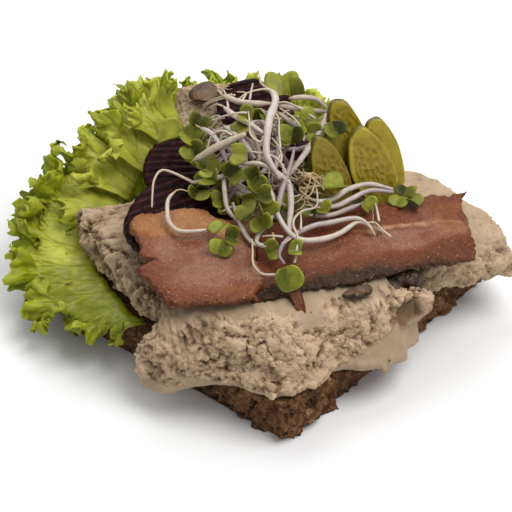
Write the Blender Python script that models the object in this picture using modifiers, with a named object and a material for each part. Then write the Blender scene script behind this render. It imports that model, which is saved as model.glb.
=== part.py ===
"""An open sandwich: a slice of dark rye bread with slabs of liver pate, curly lettuce, fried bacon,
crinkle-cut beetroot, a fan of gherkin slices, fried mushroom pieces and a heap of radish sprouts.

The bread lies square to X and Y with its flat underside on z = 0, centred on the origin. What lies on
it is laid out in the toppings' frame, turned about Z: `along` runs the length of the bacon, `back`
runs across it, away from the bread's +X -Y corner, and heights are from the table.
"""

import math

import bmesh
import bpy
from mathutils import Matrix, Vector, noise
from mathutils.bvhtree import BVHTree

COLLECTION = "open_sandwich"
MM = 0.001
GAP = 0.3 * MM  # between two pieces that touch

# Driving dimensions, in metres and radians
BREAD_WIDTH = 92 * MM  # along X
BREAD_DEPTH = 90 * MM  # along Y
BREAD_THICKNESS = 13 * MM
BREAD_CORNER = 2 * MM
TOPPINGS_TURN = math.radians(51.5)
PATE_BOTTOM = BREAD_THICKNESS + GAP
PATE_TOP = 27 * MM
BACON_THICKNESS = 2.2 * MM
BEETROOT_THICKNESS = 3.0 * MM
RIDGE_PITCH = 5.5 * MM
RIDGE_HEIGHT = 0.4 * MM
GHERKIN_THICKNESS = 2.6 * MM
LETTUCE_THICKNESS = 1.1 * MM


# ---------------------------------------------------------------- scene, materials and small helpers


def clear_scene():
    for old in list(bpy.data.objects):
        bpy.data.objects.remove(old, do_unlink=True)


def plain_material(name, colour, roughness, metallic=0.0):
    made = bpy.data.materials.new(name)
    made.use_nodes = True
    shader = made.node_tree.nodes["Principled BSDF"]
    shader.inputs["Base Color"].default_value = (*colour, 1.0)
    shader.inputs["Roughness"].default_value = roughness
    shader.inputs["Metallic"].default_value = metallic
    return made


def add_object(name, bm, material, parent=None):
    """Turns a bmesh into an object of the sandwich, shaded smooth, in its parent's frame."""
    bmesh.ops.recalc_face_normals(bm, faces=bm.faces)
    mesh = bpy.data.meshes.new(name)
    bm.to_mesh(mesh)
    bm.free()
    mesh.shade_smooth()
    mesh.materials.append(material)
    made = bpy.data.objects.new(name, mesh)
    bpy.data.collections[COLLECTION].objects.link(made)
    made.parent = parent
    return made


def give_thickness(made, thickness):
    """Turns an open sheet into a closed piece, half of its thickness on each side."""
    thick = made.modifiers.new("thickness", "SOLIDIFY")
    thick.thickness = thickness
    thick.offset = 0.0
    return made


def ruggedness(point, pitch, seed):
    """Smooth noise from -1 to 1 with bumps about `pitch` apart."""
    return noise.noise(Vector(point) / pitch + Vector((seed, 2.7 * seed, 5.1 * seed)))


def smooth_step(low, high, value):
    share = min(1.0, max(0.0, (value - low) / (high - low)))
    return share * share * (3 - 2 * share)


def path_point(points, share):
    """A smooth path (Catmull-Rom) through a few points in mm, at a share of their count."""
    reach = share * (len(points) - 1)
    at = min(int(reach), len(points) - 2)
    t = reach - at
    before, start, end, after = (
        Vector(points[min(max(at + step, 0), len(points) - 1)]) for step in (-1, 0, 1, 2)
    )
    return MM / 2 * (
        2 * start + (end - before) * t + (2 * before - 5 * start + 4 * end - after) * t * t
        + (3 * start - before - 3 * end + after) * t ** 3
    )


def past_bread(spot):
    """How far a spot (along, back) of the toppings' frame lies outside the bread's outline."""
    x = spot.x * math.cos(TOPPINGS_TURN) - spot.y * math.sin(TOPPINGS_TURN)
    y = spot.x * math.sin(TOPPINGS_TURN) + spot.y * math.cos(TOPPINGS_TURN)
    return math.hypot(max(0.0, abs(x) - BREAD_WIDTH / 2), max(0.0, abs(y) - BREAD_DEPTH / 2))


def surface_under(objects):
    """One tree of what has been laid down so far, in the toppings' frame."""
    graph = bpy.context.evaluated_depsgraph_get()
    graph.update()
    joined = bmesh.new()
    into_frame = Matrix.Rotation(-TOPPINGS_TURN, 4, "Z")
    for laid in objects:
        mesh = bpy.data.meshes.new_from_object(laid.evaluated_get(graph))
        mesh.transform(into_frame @ laid.matrix_world)
        joined.from_mesh(mesh)
        bpy.data.meshes.remove(mesh)
    tree = BVHTree.FromBMesh(joined)
    joined.free()
    return tree


def height_near(tree, spot, reach):
    """The highest point of the tree at a spot or within `reach` of it, seen from above."""
    spots = [spot] + [
        spot + Matrix.Rotation(math.tau * turn / 8, 2) @ Vector((ring * reach, 0))
        for ring in (0.5, 1.0)
        for turn in range(8)
    ]
    above = 4 * PATE_TOP
    hits = (tree.ray_cast(Vector((*near, above)), Vector((0, 0, -1)))[0] for near in spots)
    return max((hit.z for hit in hits if hit), default=0.0)


# ---------------------------------------------------------------- bread and pate


def make_bread(material):
    """A square-cut slice: flat above and below, with rounded corners and uneven sides."""
    bm = bmesh.new()
    bmesh.ops.create_cube(bm, size=2.0)
    bmesh.ops.subdivide_edges(bm, edges=bm.edges[:], cuts=7, use_grid_fill=True)
    half = Vector((BREAD_WIDTH / 2, BREAD_DEPTH / 2, BREAD_THICKNESS / 2))
    for vertex in bm.verts:
        u, v, w = vertex.co
        side = Vector((u * half.x, v * half.y, 0.0))
        inner = Vector((half.x - BREAD_CORNER, half.y - BREAD_CORNER))
        over = Vector((max(0.0, abs(side.x) - inner.x), max(0.0, abs(side.y) - inner.y)))
        if over.length > BREAD_CORNER:
            over *= BREAD_CORNER / over.length
            side.x = math.copysign(inner.x + over.x, u)
            side.y = math.copysign(inner.y + over.y, v)
        edge = smooth_step(0.8, 1.0, max(abs(u), abs(v)))
        dent = 0.9 * MM * edge * (ruggedness(vertex.co, 0.35, 3) - 0.3 * abs(w) ** 3)
        side += side.normalized() * dent
        vertex.co = (side.x, side.y, half.z * (1 + w))
    return add_object("bread", bm, material)


def pate_slab(name, front, back, heights, parent, material, seed, cuts=6, edge=3 * MM):
    """A slab of pate: a cube cut into a grid and drawn out between two paths in plan.

    `front` and `back` are the paths (along, back) that its long sides follow, `heights(spot, depth)`
    gives its (bottom, top) where `depth` runs from 0 in front to 1 behind, and `edge` is the radius
    of its worn edges.
    """
    bm = bmesh.new()
    bmesh.ops.create_cube(bm, size=2.0)
    bmesh.ops.subdivide_edges(bm, edges=bm.edges[:], cuts=cuts, use_grid_fill=True)
    middle = (path_point(front, 0.5) + path_point(back, 0.5)) / 2
    for vertex in bm.verts:
        u, v, w = vertex.co
        share = (u * math.sqrt(1 - 0.12 * v * v) + 1) / 2  # the four corners are a little rounded
        depth = (v * math.sqrt(1 - 0.12 * u * u) + 1) / 2
        spot = path_point(front, share).lerp(path_point(back, share), depth)
        rim = smooth_step(0.5, 1.0, max(abs(u), abs(v)))
        uneven = 1.3 * MM * ruggedness((spot.x, spot.y, w * 4 * MM), 9 * MM, seed)
        inset = edge * (1 - math.sqrt(max(0.0, 1 - abs(w) ** 3)))
        spot += (spot - middle).normalized() * rim * (uneven - inset)
        bottom, top = heights(spot, depth)
        top += 0.4 * MM * ruggedness((spot.x, spot.y, 0), 8 * MM, seed + 1) - 0.5 * edge * rim
        vertex.co = (spot.x, spot.y, bottom + (top - bottom) * (w + 1) / 2)
    return add_object(name, bm, material, parent)


def left_heights(spot, depth):
    """The left slab lies on the inner edge of the lettuce."""
    return PATE_BOTTOM + LETTUCE_THICKNESS + GAP, PATE_TOP


def right_heights(spot, depth):
    """The right slab thins to a tip that hangs past the bread."""
    past = past_bread(spot) ** 2
    return PATE_BOTTOM - 4 * past, PATE_TOP - 36 * past


def front_heights(spot, depth):
    """The front slab is level under the bacon, and its broken face slopes to the bread's corner."""
    past = past_bread(spot) ** 2
    crest = 0.45 + 0.35 * smooth_step(-22 * MM, 2 * MM, spot.x)
    lip = PATE_BOTTOM + 5 * MM
    top = lip + (PATE_TOP + 1 * MM - lip) * smooth_step(-0.1, crest, depth)
    return PATE_BOTTOM - 36 * past, top - 46 * past


def back_heights(spot, depth):
    """The back slab climbs the lettuce behind it."""
    lift = 11 * MM * smooth_step(36 * MM, 62 * MM, spot.y)
    return PATE_BOTTOM + 1.6 * MM + 0.8 * lift, PATE_TOP + 1 * MM + lift


def make_pate(parent, material):
    return [
        pate_slab(
            "pate_left", [(-38.5, -29), (-12, -31), (1.5, -31)], [(-52, 16), (-25, 19), (1.5, 20)],
            left_heights, parent, material, seed=1,
        ),
        pate_slab(
            "pate_right", [(5, -31), (24, -31), (34, -26.5), (44, -29), (56, -27), (69, -25)],
            [(5, 21), (28, 20), (47, 16), (58, 4)], right_heights, parent, material, seed=5,
        ),
        pate_slab(
            "pate_front",
            [(-43, -42), (-35, -49), (-22, -52), (-7, -63), (9, -57), (22, -53), (33, -48), (41, -42)],
            [(-41, -37.5), (0, -38.5), (39, -37)], front_heights, parent, material, seed=9, cuts=9,
        ),
        pate_slab(
            "pate_back", [(-17.5, 33), (4, 30), (22, 28)], [(-15, 56), (1, 56), (19, 46)],
            back_heights, parent, material, seed=13, cuts=4, edge=2 * MM,
        ),
    ]


# ---------------------------------------------------------------- bacon, beetroot, gherkin, mushroom


def bacon_rasher(name, parent, material, rear, front, height, steps, seed):
    """A fried rasher: a grid drawn out between its two long edges, waved, and given its thickness.

    `rear` and `front` are the paths (along, back) of the edges, `height(spot)` the height of its
    middle surface.
    """
    bm = bmesh.new()
    bmesh.ops.create_grid(bm, x_segments=steps[0], y_segments=steps[1], size=1.0)
    for vertex in bm.verts:
        share, across = (vertex.co.x + 1) / 2, (vertex.co.y + 1) / 2
        spot = path_point(front, share).lerp(path_point(rear, share), across)
        edge = smooth_step(0.6, 1.0, max(abs(vertex.co.x), abs(vertex.co.y)))
        ragged = Vector((ruggedness((*spot, 0), 7 * MM, seed), ruggedness((*spot, 0), 7 * MM, seed + 1)))
        spot += ragged * edge * 1.2 * MM
        vertex.co = (spot.x, spot.y, height(spot))
    return give_thickness(add_object(name, bm, material, parent), BACON_THICKNESS)


def long_height(spot):
    """The long rasher falls towards the front and the right, in slow waves."""
    lean = 33.6 * MM + 0.13 * (spot.y + 8 * MM)
    fall = 2.2 * MM * smooth_step(28 * MM, 56 * MM, spot.x)
    return lean - fall + 0.6 * MM * math.sin(spot.x / (11 * MM) + 0.4)


def short_height(spot):
    """The short rasher lies over the beetroot and the end of the long one, and drops in front."""
    lean = 37.2 * MM + 0.125 * (spot.y + 7 * MM)
    drop = 1.2 * MM * smooth_step(-29 * MM, -42 * MM, spot.y)
    return lean - drop + 0.3 * MM * math.sin(spot.x / (6 * MM))


def make_bacon(parent, material):
    return [
        bacon_rasher(
            "bacon_long", parent, material, [(-3.6, -12), (14, -11), (33, -9), (56, -4.5)],
            [(-10.8, -39), (4, -39), (24, -37.5), (40, -33.5), (55, -32)], long_height, (16, 5), seed=21,
        ),
        bacon_rasher(
            "bacon_short", parent, material, [(-37.5, -3.5), (-22, -4), (-4, -11)],
            [(-37.5, -38), (-26, -42), (-9.8, -42)], short_height, (8, 7), seed=25,
        ),
    ]


def beetroot_slice(name, place, lean, spin, radius, parent, material):
    """A crinkle-cut disc: a grid drawn to a circle, ridged, and given its thickness."""
    bm = bmesh.new()
    bmesh.ops.create_grid(bm, x_segments=6, y_segments=18, size=1.0)
    for vertex in bm.verts:
        u, v, _ = vertex.co
        x = radius * u * math.sqrt(1 - v * v / 2)
        y = radius * v * math.sqrt(1 - u * u / 2)
        vertex.co = (x, y, RIDGE_HEIGHT * math.sin(math.tau * y / RIDGE_PITCH))
    made = add_object(name, bm, material, parent)
    made.location = Vector(place) * MM
    made.rotation_euler = (math.radians(lean[0]), math.radians(lean[1]), math.radians(spin))
    return give_thickness(made, BEETROOT_THICKNESS)


BEETROOTS = {
    # name: centre (along, back, up) in mm, tilt about along and back in degrees, turn, radius
    "beetroot_left": ((-22, -8, 33.2), (7, -1), 20, 18 * MM),
    "beetroot_middle": ((-13, 17.3, 29.8), (0, 0), -10, 17 * MM),
    "beetroot_right": ((21, 18, 30.2), (3, 0), 30, 13 * MM),
    "beetroot_back": ((7, 38, 34.0), (13.5, 0), 12, 11 * MM),
}


def make_beetroot(parent, material):
    return [
        beetroot_slice(name, place, lean, spin, radius, parent, material)
        for name, (place, lean, spin, radius) in BEETROOTS.items()
    ]


GHERKINS = {
    # name: foot (along, back, up) in mm, lean back and sideways and turn in degrees, length, width in mm
    "gherkin_1": ((21.2, -6.6, 28.4), (14, -13, 14), 25.5, 10.5),
    "gherkin_2": ((25.8, -1.3, 28.4), (18, -12, 10), 24, 10),
    "gherkin_3": ((33.9, -5, 28.4), (18, -16, 8), 25, 12.5),
    "gherkin_4": ((37.4, -1.2, 28.4), (18, -11, 8), 24.5, 10),
    "gherkin_5": ((29.0, 2.5, 28.4), (18, -10, 10), 29, 11),
}


def gherkin_slice(name, foot, tilt, length, width, parent, material):
    """A slice cut on the slant: a flat oval with a rounded rim, standing on its foot."""
    bm = bmesh.new()
    bmesh.ops.create_cone(
        bm, cap_ends=True, segments=16, radius1=0.5, radius2=0.5, depth=GHERKIN_THICKNESS
    )
    for vertex in bm.verts:
        x, y, z = vertex.co
        # egg-shaped: the foot end is a little blunter than the top
        vertex.co = (x * width * MM * (1 - 0.10 * y), -z, (y + 0.5) * length * MM)
    made = add_object(name, bm, material, parent)
    rim = made.modifiers.new("rim", "BEVEL")
    rim.width = 0.5 * MM
    rim.segments = 1
    made.location = Vector(foot) * MM
    back, side, turn = (math.radians(angle) for angle in tilt)
    made.rotation_euler = (-back, side, turn)
    return made


def make_gherkins(parent, material):
    return [
        gherkin_slice(name, foot, tilt, length, width, parent, material)
        for name, (foot, tilt, length, width) in GHERKINS.items()
    ]


MUSHROOMS = {
    # name: centre (along, back, up), half sizes along, back and up in mm, lean and turn in degrees
    "mushroom_back": ((-7, 49, 36.2), (4.6, 3.2, 1.7), 30, 8),
    "mushroom_front": ((18.5, -41.5, 29.6), (4.6, 2.0, 1.3), 0, 8),
    "mushroom_right": ((33, -33.5, 24.2), (5.2, 3.0, 2.6), 6, -6),
}


def make_mushrooms(parent, material):
    made = []
    for name, (place, half, lean, turn) in MUSHROOMS.items():
        bm = bmesh.new()
        bmesh.ops.create_uvsphere(bm, u_segments=12, v_segments=7, radius=1.0)
        for vertex in bm.verts:
            x, y, z = vertex.co
            # the cap bulges above and draws in towards the stem below
            x *= 1 - 0.35 * smooth_step(0.1, -0.8, z)
            vertex.co = (x * half[0] * MM, y * half[1] * MM, z * half[2] * MM)
        piece = add_object(name, bm, material, parent)
        piece.location = Vector(place) * MM
        piece.rotation_euler = (math.radians(lean), 0, math.radians(turn))
        made.append(piece)
    return made


# ---------------------------------------------------------------- lettuce


def lettuce_leaf(name, heart, rim, frills, frill, belly, parent, material, steps):
    """A curly leaf: a sheet from its heart line to its rim, with frills that grow towards the rim.

    `heart` and `rim` are the paths (along, back, up) of the leaf's two long edges, `frills` how many
    waves the rim has and `frill` their height, and `belly` how far the middle of the leaf arches.
    """
    bm = bmesh.new()
    bmesh.ops.create_grid(bm, x_segments=steps[0], y_segments=steps[1], size=1.0)
    for vertex in bm.verts:
        share, out = (vertex.co.x + 1) / 2, (vertex.co.y + 1) / 2
        inner, outer = path_point(heart, share), path_point(rim, share)
        ahead = path_point(rim, min(1.0, share + 0.02)) - path_point(rim, max(0.0, share - 0.02))
        across = (outer - inner).normalized()
        up = ahead.cross(across).normalized()
        if up.z < 0:
            up = -up
        wave = frill * out ** 2.2 * math.sin(math.tau * frills * share + 1.3 * math.sin(5 * share))
        vertex.co = inner.lerp(outer, out) + up * (wave + belly * math.sin(math.pi * out ** 1.4))
        lowest = PATE_BOTTOM + LETTUCE_THICKNESS / 2 - 1.3 * max(0.0, past_bread(vertex.co) - 3 * MM)
        vertex.co.z = max(vertex.co.z, lowest)
    return give_thickness(add_object(name, bm, material, parent), LETTUCE_THICKNESS)


def make_lettuce(parent, material):
    left = lettuce_leaf(
        "lettuce_left",
        [(-38, -27, 13.9), (-45, -12, 13.9), (-50, 4, 13.9), (-51, 17, 13.9), (-38, 22, 14), (-21, 33, 15)],
        [(-44, -27, 10), (-58, -17, 5), (-72, -3, 12), (-65, 18, 25), (-47, 34, 37), (-25, 40, 48)],
        7, 4 * MM, 2.5 * MM, parent, material, steps=(42, 6),
    )
    back = lettuce_leaf(
        "lettuce_back",
        [(-18, 46, 14), (-7, 55, 14), (5, 61, 14), (14, 54, 14), (25, 40, 14)],
        [(-25, 56, 36), (-13, 66, 33), (5, 68, 32), (20, 60, 31), (31, 49, 30)],
        4, 2.2 * MM, -2 * MM, parent, material, steps=(20, 4),
    )
    return [left, back]


# ---------------------------------------------------------------- sprouts


HEAP_MIDDLE = Vector((-1, 12)) * MM
HEAP_OUTLINE = [
    # (along, back) in mm, from the tongue on the bacon round by the right
    (2, -21), (9, -13), (10, 1), (15, 13), (27, 22), (22, 37),
    (3, 42), (-13, 33), (-20, 18), (-21, 3), (-9, -10), (2, -21),
]
HEAP_EDGE_HEIGHT = 36 * MM
HEAP_PEAK = 57 * MM
HEAP_RINGS = 6
HEAP_SPOKES = 22


def make_sprouts(parent, material, laid):
    """The heap of sprouts, out to its uneven outline: a ball whose underside is draped on what
    lies below and whose top is a bumpy dome with a tongue that spills over the bacon."""
    tree = surface_under(laid)
    bm = bmesh.new()
    bmesh.ops.create_uvsphere(bm, u_segments=HEAP_SPOKES, v_segments=2 * HEAP_RINGS, radius=1.0)
    for vertex in bm.verts:
        x, y, z = vertex.co
        round_it = math.atan2(y, x) / math.tau % 1.0
        out = math.asin(min(1.0, math.hypot(x, y))) / (math.pi / 2)
        spot = HEAP_MIDDLE.lerp(path_point(HEAP_OUTLINE, round_it), out)
        floor = height_near(tree, spot, 6 * MM) + 3 * GAP
        dome = HEAP_EDGE_HEIGHT + (HEAP_PEAK - HEAP_EDGE_HEIGHT) * (1 - out ** 2)
        dome += 1.8 * MM * ruggedness((*spot, 0), 7 * MM, 31)
        top = max(dome, floor + 1.5 * MM)
        rim = abs(z) < 1e-6
        rise = 0.3 if rim else float(z > 0)
        vertex.co = (*spot, floor + (top - floor) * rise)
    return add_object("sprouts", bm, material, parent)


def main():
    clear_scene()
    collection = bpy.data.collections.new(COLLECTION)
    bpy.context.scene.collection.children.link(collection)
    toppings = bpy.data.objects.new("toppings", None)
    toppings.rotation_euler.z = TOPPINGS_TURN
    collection.objects.link(toppings)
    bread = plain_material("rye_crumb", (0.20, 0.11, 0.055), 0.9)
    pate = plain_material("liver_pate", (0.42, 0.30, 0.20), 0.75)
    bacon = plain_material("fried_bacon", (0.36, 0.12, 0.07), 0.45)
    beet = plain_material("pickled_beetroot", (0.035, 0.006, 0.010), 0.35)
    gherkin = plain_material("pickled_gherkin", (0.30, 0.25, 0.05), 0.35)
    mushroom = plain_material("fried_mushroom", (0.16, 0.10, 0.05), 0.5)
    leaf = plain_material("lettuce_green", (0.26, 0.33, 0.06), 0.5)
    sprout = plain_material("sprout_stems", (0.42, 0.42, 0.30), 0.5)
    laid = [make_bread(bread)]
    laid += make_pate(toppings, pate)
    laid += make_lettuce(toppings, leaf)
    laid += make_bacon(toppings, bacon)
    laid += make_beetroot(toppings, beet)
    laid += make_mushrooms(toppings, mushroom)
    make_gherkins(toppings, gherkin)
    make_sprouts(toppings, sprout, laid)


if __name__ == "__main__":
    main()
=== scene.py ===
"""The looks of the open sandwich: rye crumb, liver pate, fried bacon, crinkle-cut beetroot, gherkins,
fried mushrooms, curly lettuce and a heap of radish sprouts, each made in place of its plain solid.

Toppings are laid out in their own frame, turned on the bread: along the bacon, back across it, and
up, in millimetres. Everything else is in metres.
"""

import math
import random

import bmesh
import bpy
import numpy as np
from bpy.props import FloatProperty, FloatVectorProperty, IntProperty, PointerProperty
from bpy.types import Operator, Panel, PropertyGroup
from mathutils import Matrix, Vector, noise
from mathutils.bvhtree import BVHTree


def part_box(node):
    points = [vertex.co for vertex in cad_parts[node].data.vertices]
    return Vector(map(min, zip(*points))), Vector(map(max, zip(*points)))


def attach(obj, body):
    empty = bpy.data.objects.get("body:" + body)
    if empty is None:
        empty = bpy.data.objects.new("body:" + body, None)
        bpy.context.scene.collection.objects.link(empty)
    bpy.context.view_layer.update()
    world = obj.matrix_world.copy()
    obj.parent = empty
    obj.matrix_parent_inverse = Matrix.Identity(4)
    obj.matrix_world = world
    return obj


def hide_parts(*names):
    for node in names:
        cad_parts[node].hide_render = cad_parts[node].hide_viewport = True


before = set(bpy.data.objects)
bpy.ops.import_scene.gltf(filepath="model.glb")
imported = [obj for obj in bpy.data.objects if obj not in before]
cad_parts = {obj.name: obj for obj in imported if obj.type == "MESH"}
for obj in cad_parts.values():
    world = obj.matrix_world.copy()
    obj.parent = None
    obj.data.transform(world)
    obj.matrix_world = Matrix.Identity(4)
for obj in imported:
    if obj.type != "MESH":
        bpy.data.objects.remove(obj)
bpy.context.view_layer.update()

bl_info = {
    "name": "Open Sandwich",
    "version": (1, 0, 0),
    "blender": (4, 5, 0),
    "location": "3D View > Sidebar > Sandwich",
    "description": "Makes the crumb, pate, bacon, leaves and sprouts of an open sandwich",
    "category": "Object",
}

MM = 0.001
TOPPINGS_TURN = math.radians(51.5)


# ---------------------------------------------------------------- numbers, noise and paths


def paint(red, green, blue):
    """A colour given from 0 to 255, made linear."""
    return (*((channel / 255) ** 2.2 for channel in (red, green, blue)), 1.0)


def colour_field(name, description, red, green, blue):
    """A setting that holds a colour, given from 0 to 255."""
    return FloatVectorProperty(
        name=name, description=description, default=paint(red, green, blue), size=4, subtype="COLOR"
    )


def length_field(name, description, default, least=0.0):
    """A setting that holds a length, given in mm."""
    return FloatProperty(
        name=name, description=description, default=default * MM, min=least * MM, unit="LENGTH"
    )


def step(value, low, high):
    """Rises smoothly from 0 at `low` to 1 at `high`."""
    share = np.clip((value - low) / (high - low), 0, 1)
    return share * share * (3 - 2 * share)


def bump(value, middle, width):
    """1 at the middle, dying out softly over about `width` to either side."""
    return np.exp(-(((value - middle) / width) ** 2))


def swells(points, size, octaves=3, seed=0, calm=1.0):
    """Soft noise from about -1 to 1, with swells about `size` apart; less `calm` is more rugged."""
    moved = np.asarray(points, float) / size + (seed * 3.1, seed * 7.7, seed * 1.3)
    found = [noise.fractal(point, calm, 2.0, octaves) for point in moved.reshape(-1, 3)]
    return np.array(found).reshape(moved.shape[:-1])


def lumps(points, size, seed=0):
    """Round lumps about `size` across, packed together: 0 in the creases, 1 on top."""
    moved = np.asarray(points, float) / size + (seed * 5.3, seed * 2.9, seed * 8.1)
    near = np.array([noise.voronoi(point)[0][:2] for point in moved.reshape(-1, 3)])
    return (1 - (near[:, 0] / np.maximum(near[:, 1], 1e-9)) ** 2).reshape(moved.shape[:-1])


def warped(points, size, octaves, seed, reach):
    """Points pushed about by up to `reach`, each axis by its own noise."""
    push = [swells(points, size, octaves, seed + axis) for axis in (1, 2, 3)]
    return points + reach * np.stack(push, axis=-1)


def on_bread(points):
    """Points (along, back, up) in mm of the toppings' frame, in metres of the object's frame."""
    along, back, up = np.asarray(points, float).reshape(-1, 3).T * MM
    turn, rise = math.cos(TOPPINGS_TURN), math.sin(TOPPINGS_TURN)
    return np.column_stack([along * turn - back * rise, along * rise + back * turn, up])


def in_toppings(points):
    """The reverse of on_bread: along, back and up in mm."""
    x, y, up = np.asarray(points).T / MM
    turn, rise = math.cos(TOPPINGS_TURN), math.sin(TOPPINGS_TURN)
    return x * turn + y * rise, y * turn - x * rise, up


def smooth_path(points, count):
    """`count` evenly spread points of a smooth curve (Catmull-Rom) through the given ones."""
    knots = np.array(points, float)
    knots = np.vstack([2 * knots[0] - knots[1], knots, 2 * knots[-1] - knots[-2]])
    reach = np.linspace(0, len(knots) - 3, 10 * len(knots))
    first = np.minimum(reach.astype(int), len(knots) - 4)
    t = (reach - first)[:, None]
    a, b, c, d = (knots[first + offset] for offset in range(4))
    curve = b + ((c - a) * t + (2 * a - 5 * b + 4 * c - d) * t**2 + (3 * b - a - 3 * c + d) * t**3) / 2
    length = np.concatenate([[0], np.cumsum(np.linalg.norm(np.diff(curve, axis=0), axis=1))])
    even = np.linspace(0, length[-1], count)
    return np.column_stack([np.interp(even, length, axis) for axis in curve.T])


def unit(vectors):
    """Vectors drawn out or in to a length of 1."""
    return vectors / np.maximum(np.linalg.norm(vectors, axis=-1, keepdims=True), 1e-12)


# ---------------------------------------------------------------- meshes


def grid_faces(rows, columns, closed=False):
    """Quads over points stored row by row; a closed grid joins its last column to its first."""
    row, column = np.mgrid[0 : rows - 1, 0 : columns if closed else columns - 1]
    after = (column + 1) % columns
    low, high = row * columns, (row + 1) * columns
    return np.stack([low + column, low + after, high + after, high + column], axis=-1).reshape(-1, 4)


class Pile:
    """Many small things gathered into one mesh, with values for each point."""

    def __init__(self):
        self.points, self.faces, self.values, self.count = [], [], {}, 0

    def add(self, points, faces, **values):
        """Adds points, the faces over them and the values they carry, and gives the pile back."""
        self.points.append(np.asarray(points, float))
        self.faces += [[corner + self.count for corner in face] for face in faces]
        self.count += len(points)
        for name, value in values.items():
            self.values.setdefault(name, []).append(np.broadcast_to(np.ravel(value), len(points)))
        return self

    def mesh(self, name):
        """The pile as one mesh, with its points merged where they meet."""
        made = bpy.data.meshes.new(name)
        made.from_pydata(np.concatenate(self.points).tolist(), [], self.faces)
        keep_values(made, **{value: np.concatenate(parts) for value, parts in self.values.items()})
        tidy = bmesh.new()
        tidy.from_mesh(made)
        bmesh.ops.remove_doubles(tidy, verts=tidy.verts, dist=1e-7)
        bmesh.ops.recalc_face_normals(tidy, faces=tidy.faces)
        tidy.to_mesh(made)
        tidy.free()
        return made


def keep_values(mesh, **values):
    """Stores one number a point under each name, for the material to read."""
    for name, value in values.items():
        kept = mesh.attributes.new(name, "FLOAT", "POINT")
        kept.data.foreach_set("value", np.asarray(value, np.float32))


def read_points(mesh):
    """The points of a mesh and their normals."""
    points, normals = np.empty(len(mesh.vertices) * 3), np.empty(len(mesh.vertices) * 3)
    mesh.vertices.foreach_get("co", points)
    mesh.vertex_normals.foreach_get("vector", normals)
    return points.reshape(-1, 3), normals.reshape(-1, 3)


def put_in_scene(name, data):
    """A new object in the scene."""
    made = bpy.data.objects.new(name, data)
    bpy.context.scene.collection.objects.link(made)
    return made


def fine_copy(node, facet):
    """A solid's mesh remade in even facets, with its edges a little worn."""
    blank = put_in_scene("blank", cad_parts[node].data.copy())
    even = blank.modifiers.new("even facets", "REMESH")
    even.mode, even.voxel_size = "VOXEL", facet
    worn = blank.modifiers.new("worn edges", "SMOOTH")
    worn.factor, worn.iterations = 0.5, 4
    graph = bpy.context.evaluated_depsgraph_get()
    mesh = bpy.data.meshes.new_from_object(blank.evaluated_get(graph))
    bpy.data.objects.remove(blank)
    return mesh


def serve(mesh, name, material, slot, *nodes):
    """Puts a finished mesh on the sandwich in place of its plain solids."""
    old = bpy.data.objects.get(name)
    if old:
        bpy.data.objects.remove(old)
    mesh.shade_smooth()
    mesh.materials.clear()
    mesh.materials.append(material)
    piece = put_in_scene(name, mesh)
    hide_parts(*nodes)
    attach(piece, "root")


def disc(rim, angle, rings, evenness=1.0):
    """A closed disc, with rings from the middle of its top out over the rim to the middle below.

    Gives each point's x, y, share of the way out and side (1 on top, -1 below), and the faces. `rim`
    is how far the disc reaches at each `angle`, and `evenness` under 1 puts more rings at the rim.
    """
    way = np.concatenate([np.linspace(0, 1, rings), np.linspace(1, 0, rings)])[:, None] ** evenness
    x, y = (way * np.cos(angle) * rim).ravel(), (way * np.sin(angle) * rim).ravel()
    side = np.repeat([1.0, -1.0], rings * len(angle))
    return x, y, way.repeat(len(angle)), side, grid_faces(2 * rings, len(angle), closed=True)


def spokes_from(first, count):
    """Evenly spread angles, once round."""
    return np.linspace(first, first + math.tau, count, endpoint=False)


def round_rim(out, start, width):
    """The share of its thickness that a slice keeps where its rim rounds off."""
    return np.sqrt(np.clip(1 - np.clip((out - start) / width, 0, 1) ** 2, 0, 1))


def laid(x, y, z, centre, turn, sideways, back):
    """Points in mm, turned in degrees about up, back and along, and moved to their centre on the bread."""
    lay = Matrix.Identity(3)
    for angle, axis in ((turn, "Z"), (sideways, "Y"), (back, "X")):
        lay = lay @ Matrix.Rotation(math.radians(angle), 3, axis)
    return on_bread(np.column_stack([x, y, z]) @ np.array(lay).T + centre)


def tree_over(nodes):
    """A tree of some of the solids, to lay things on."""
    joined = bmesh.new()
    for node in nodes:
        joined.from_mesh(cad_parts[node].data)
    tree = BVHTree.FromBMesh(joined)
    joined.free()
    return tree


def height_over(tree, along, back):
    """How high the tree stands in mm at a spot of the toppings' frame, or None beside it."""
    spot = Vector(on_bread([(along, back, 200)])[0])
    hit = tree.ray_cast(spot, Vector((0, 0, -1)))[0]
    return hit.z / MM if hit else None


# ---------------------------------------------------------------- shader nodes


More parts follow.
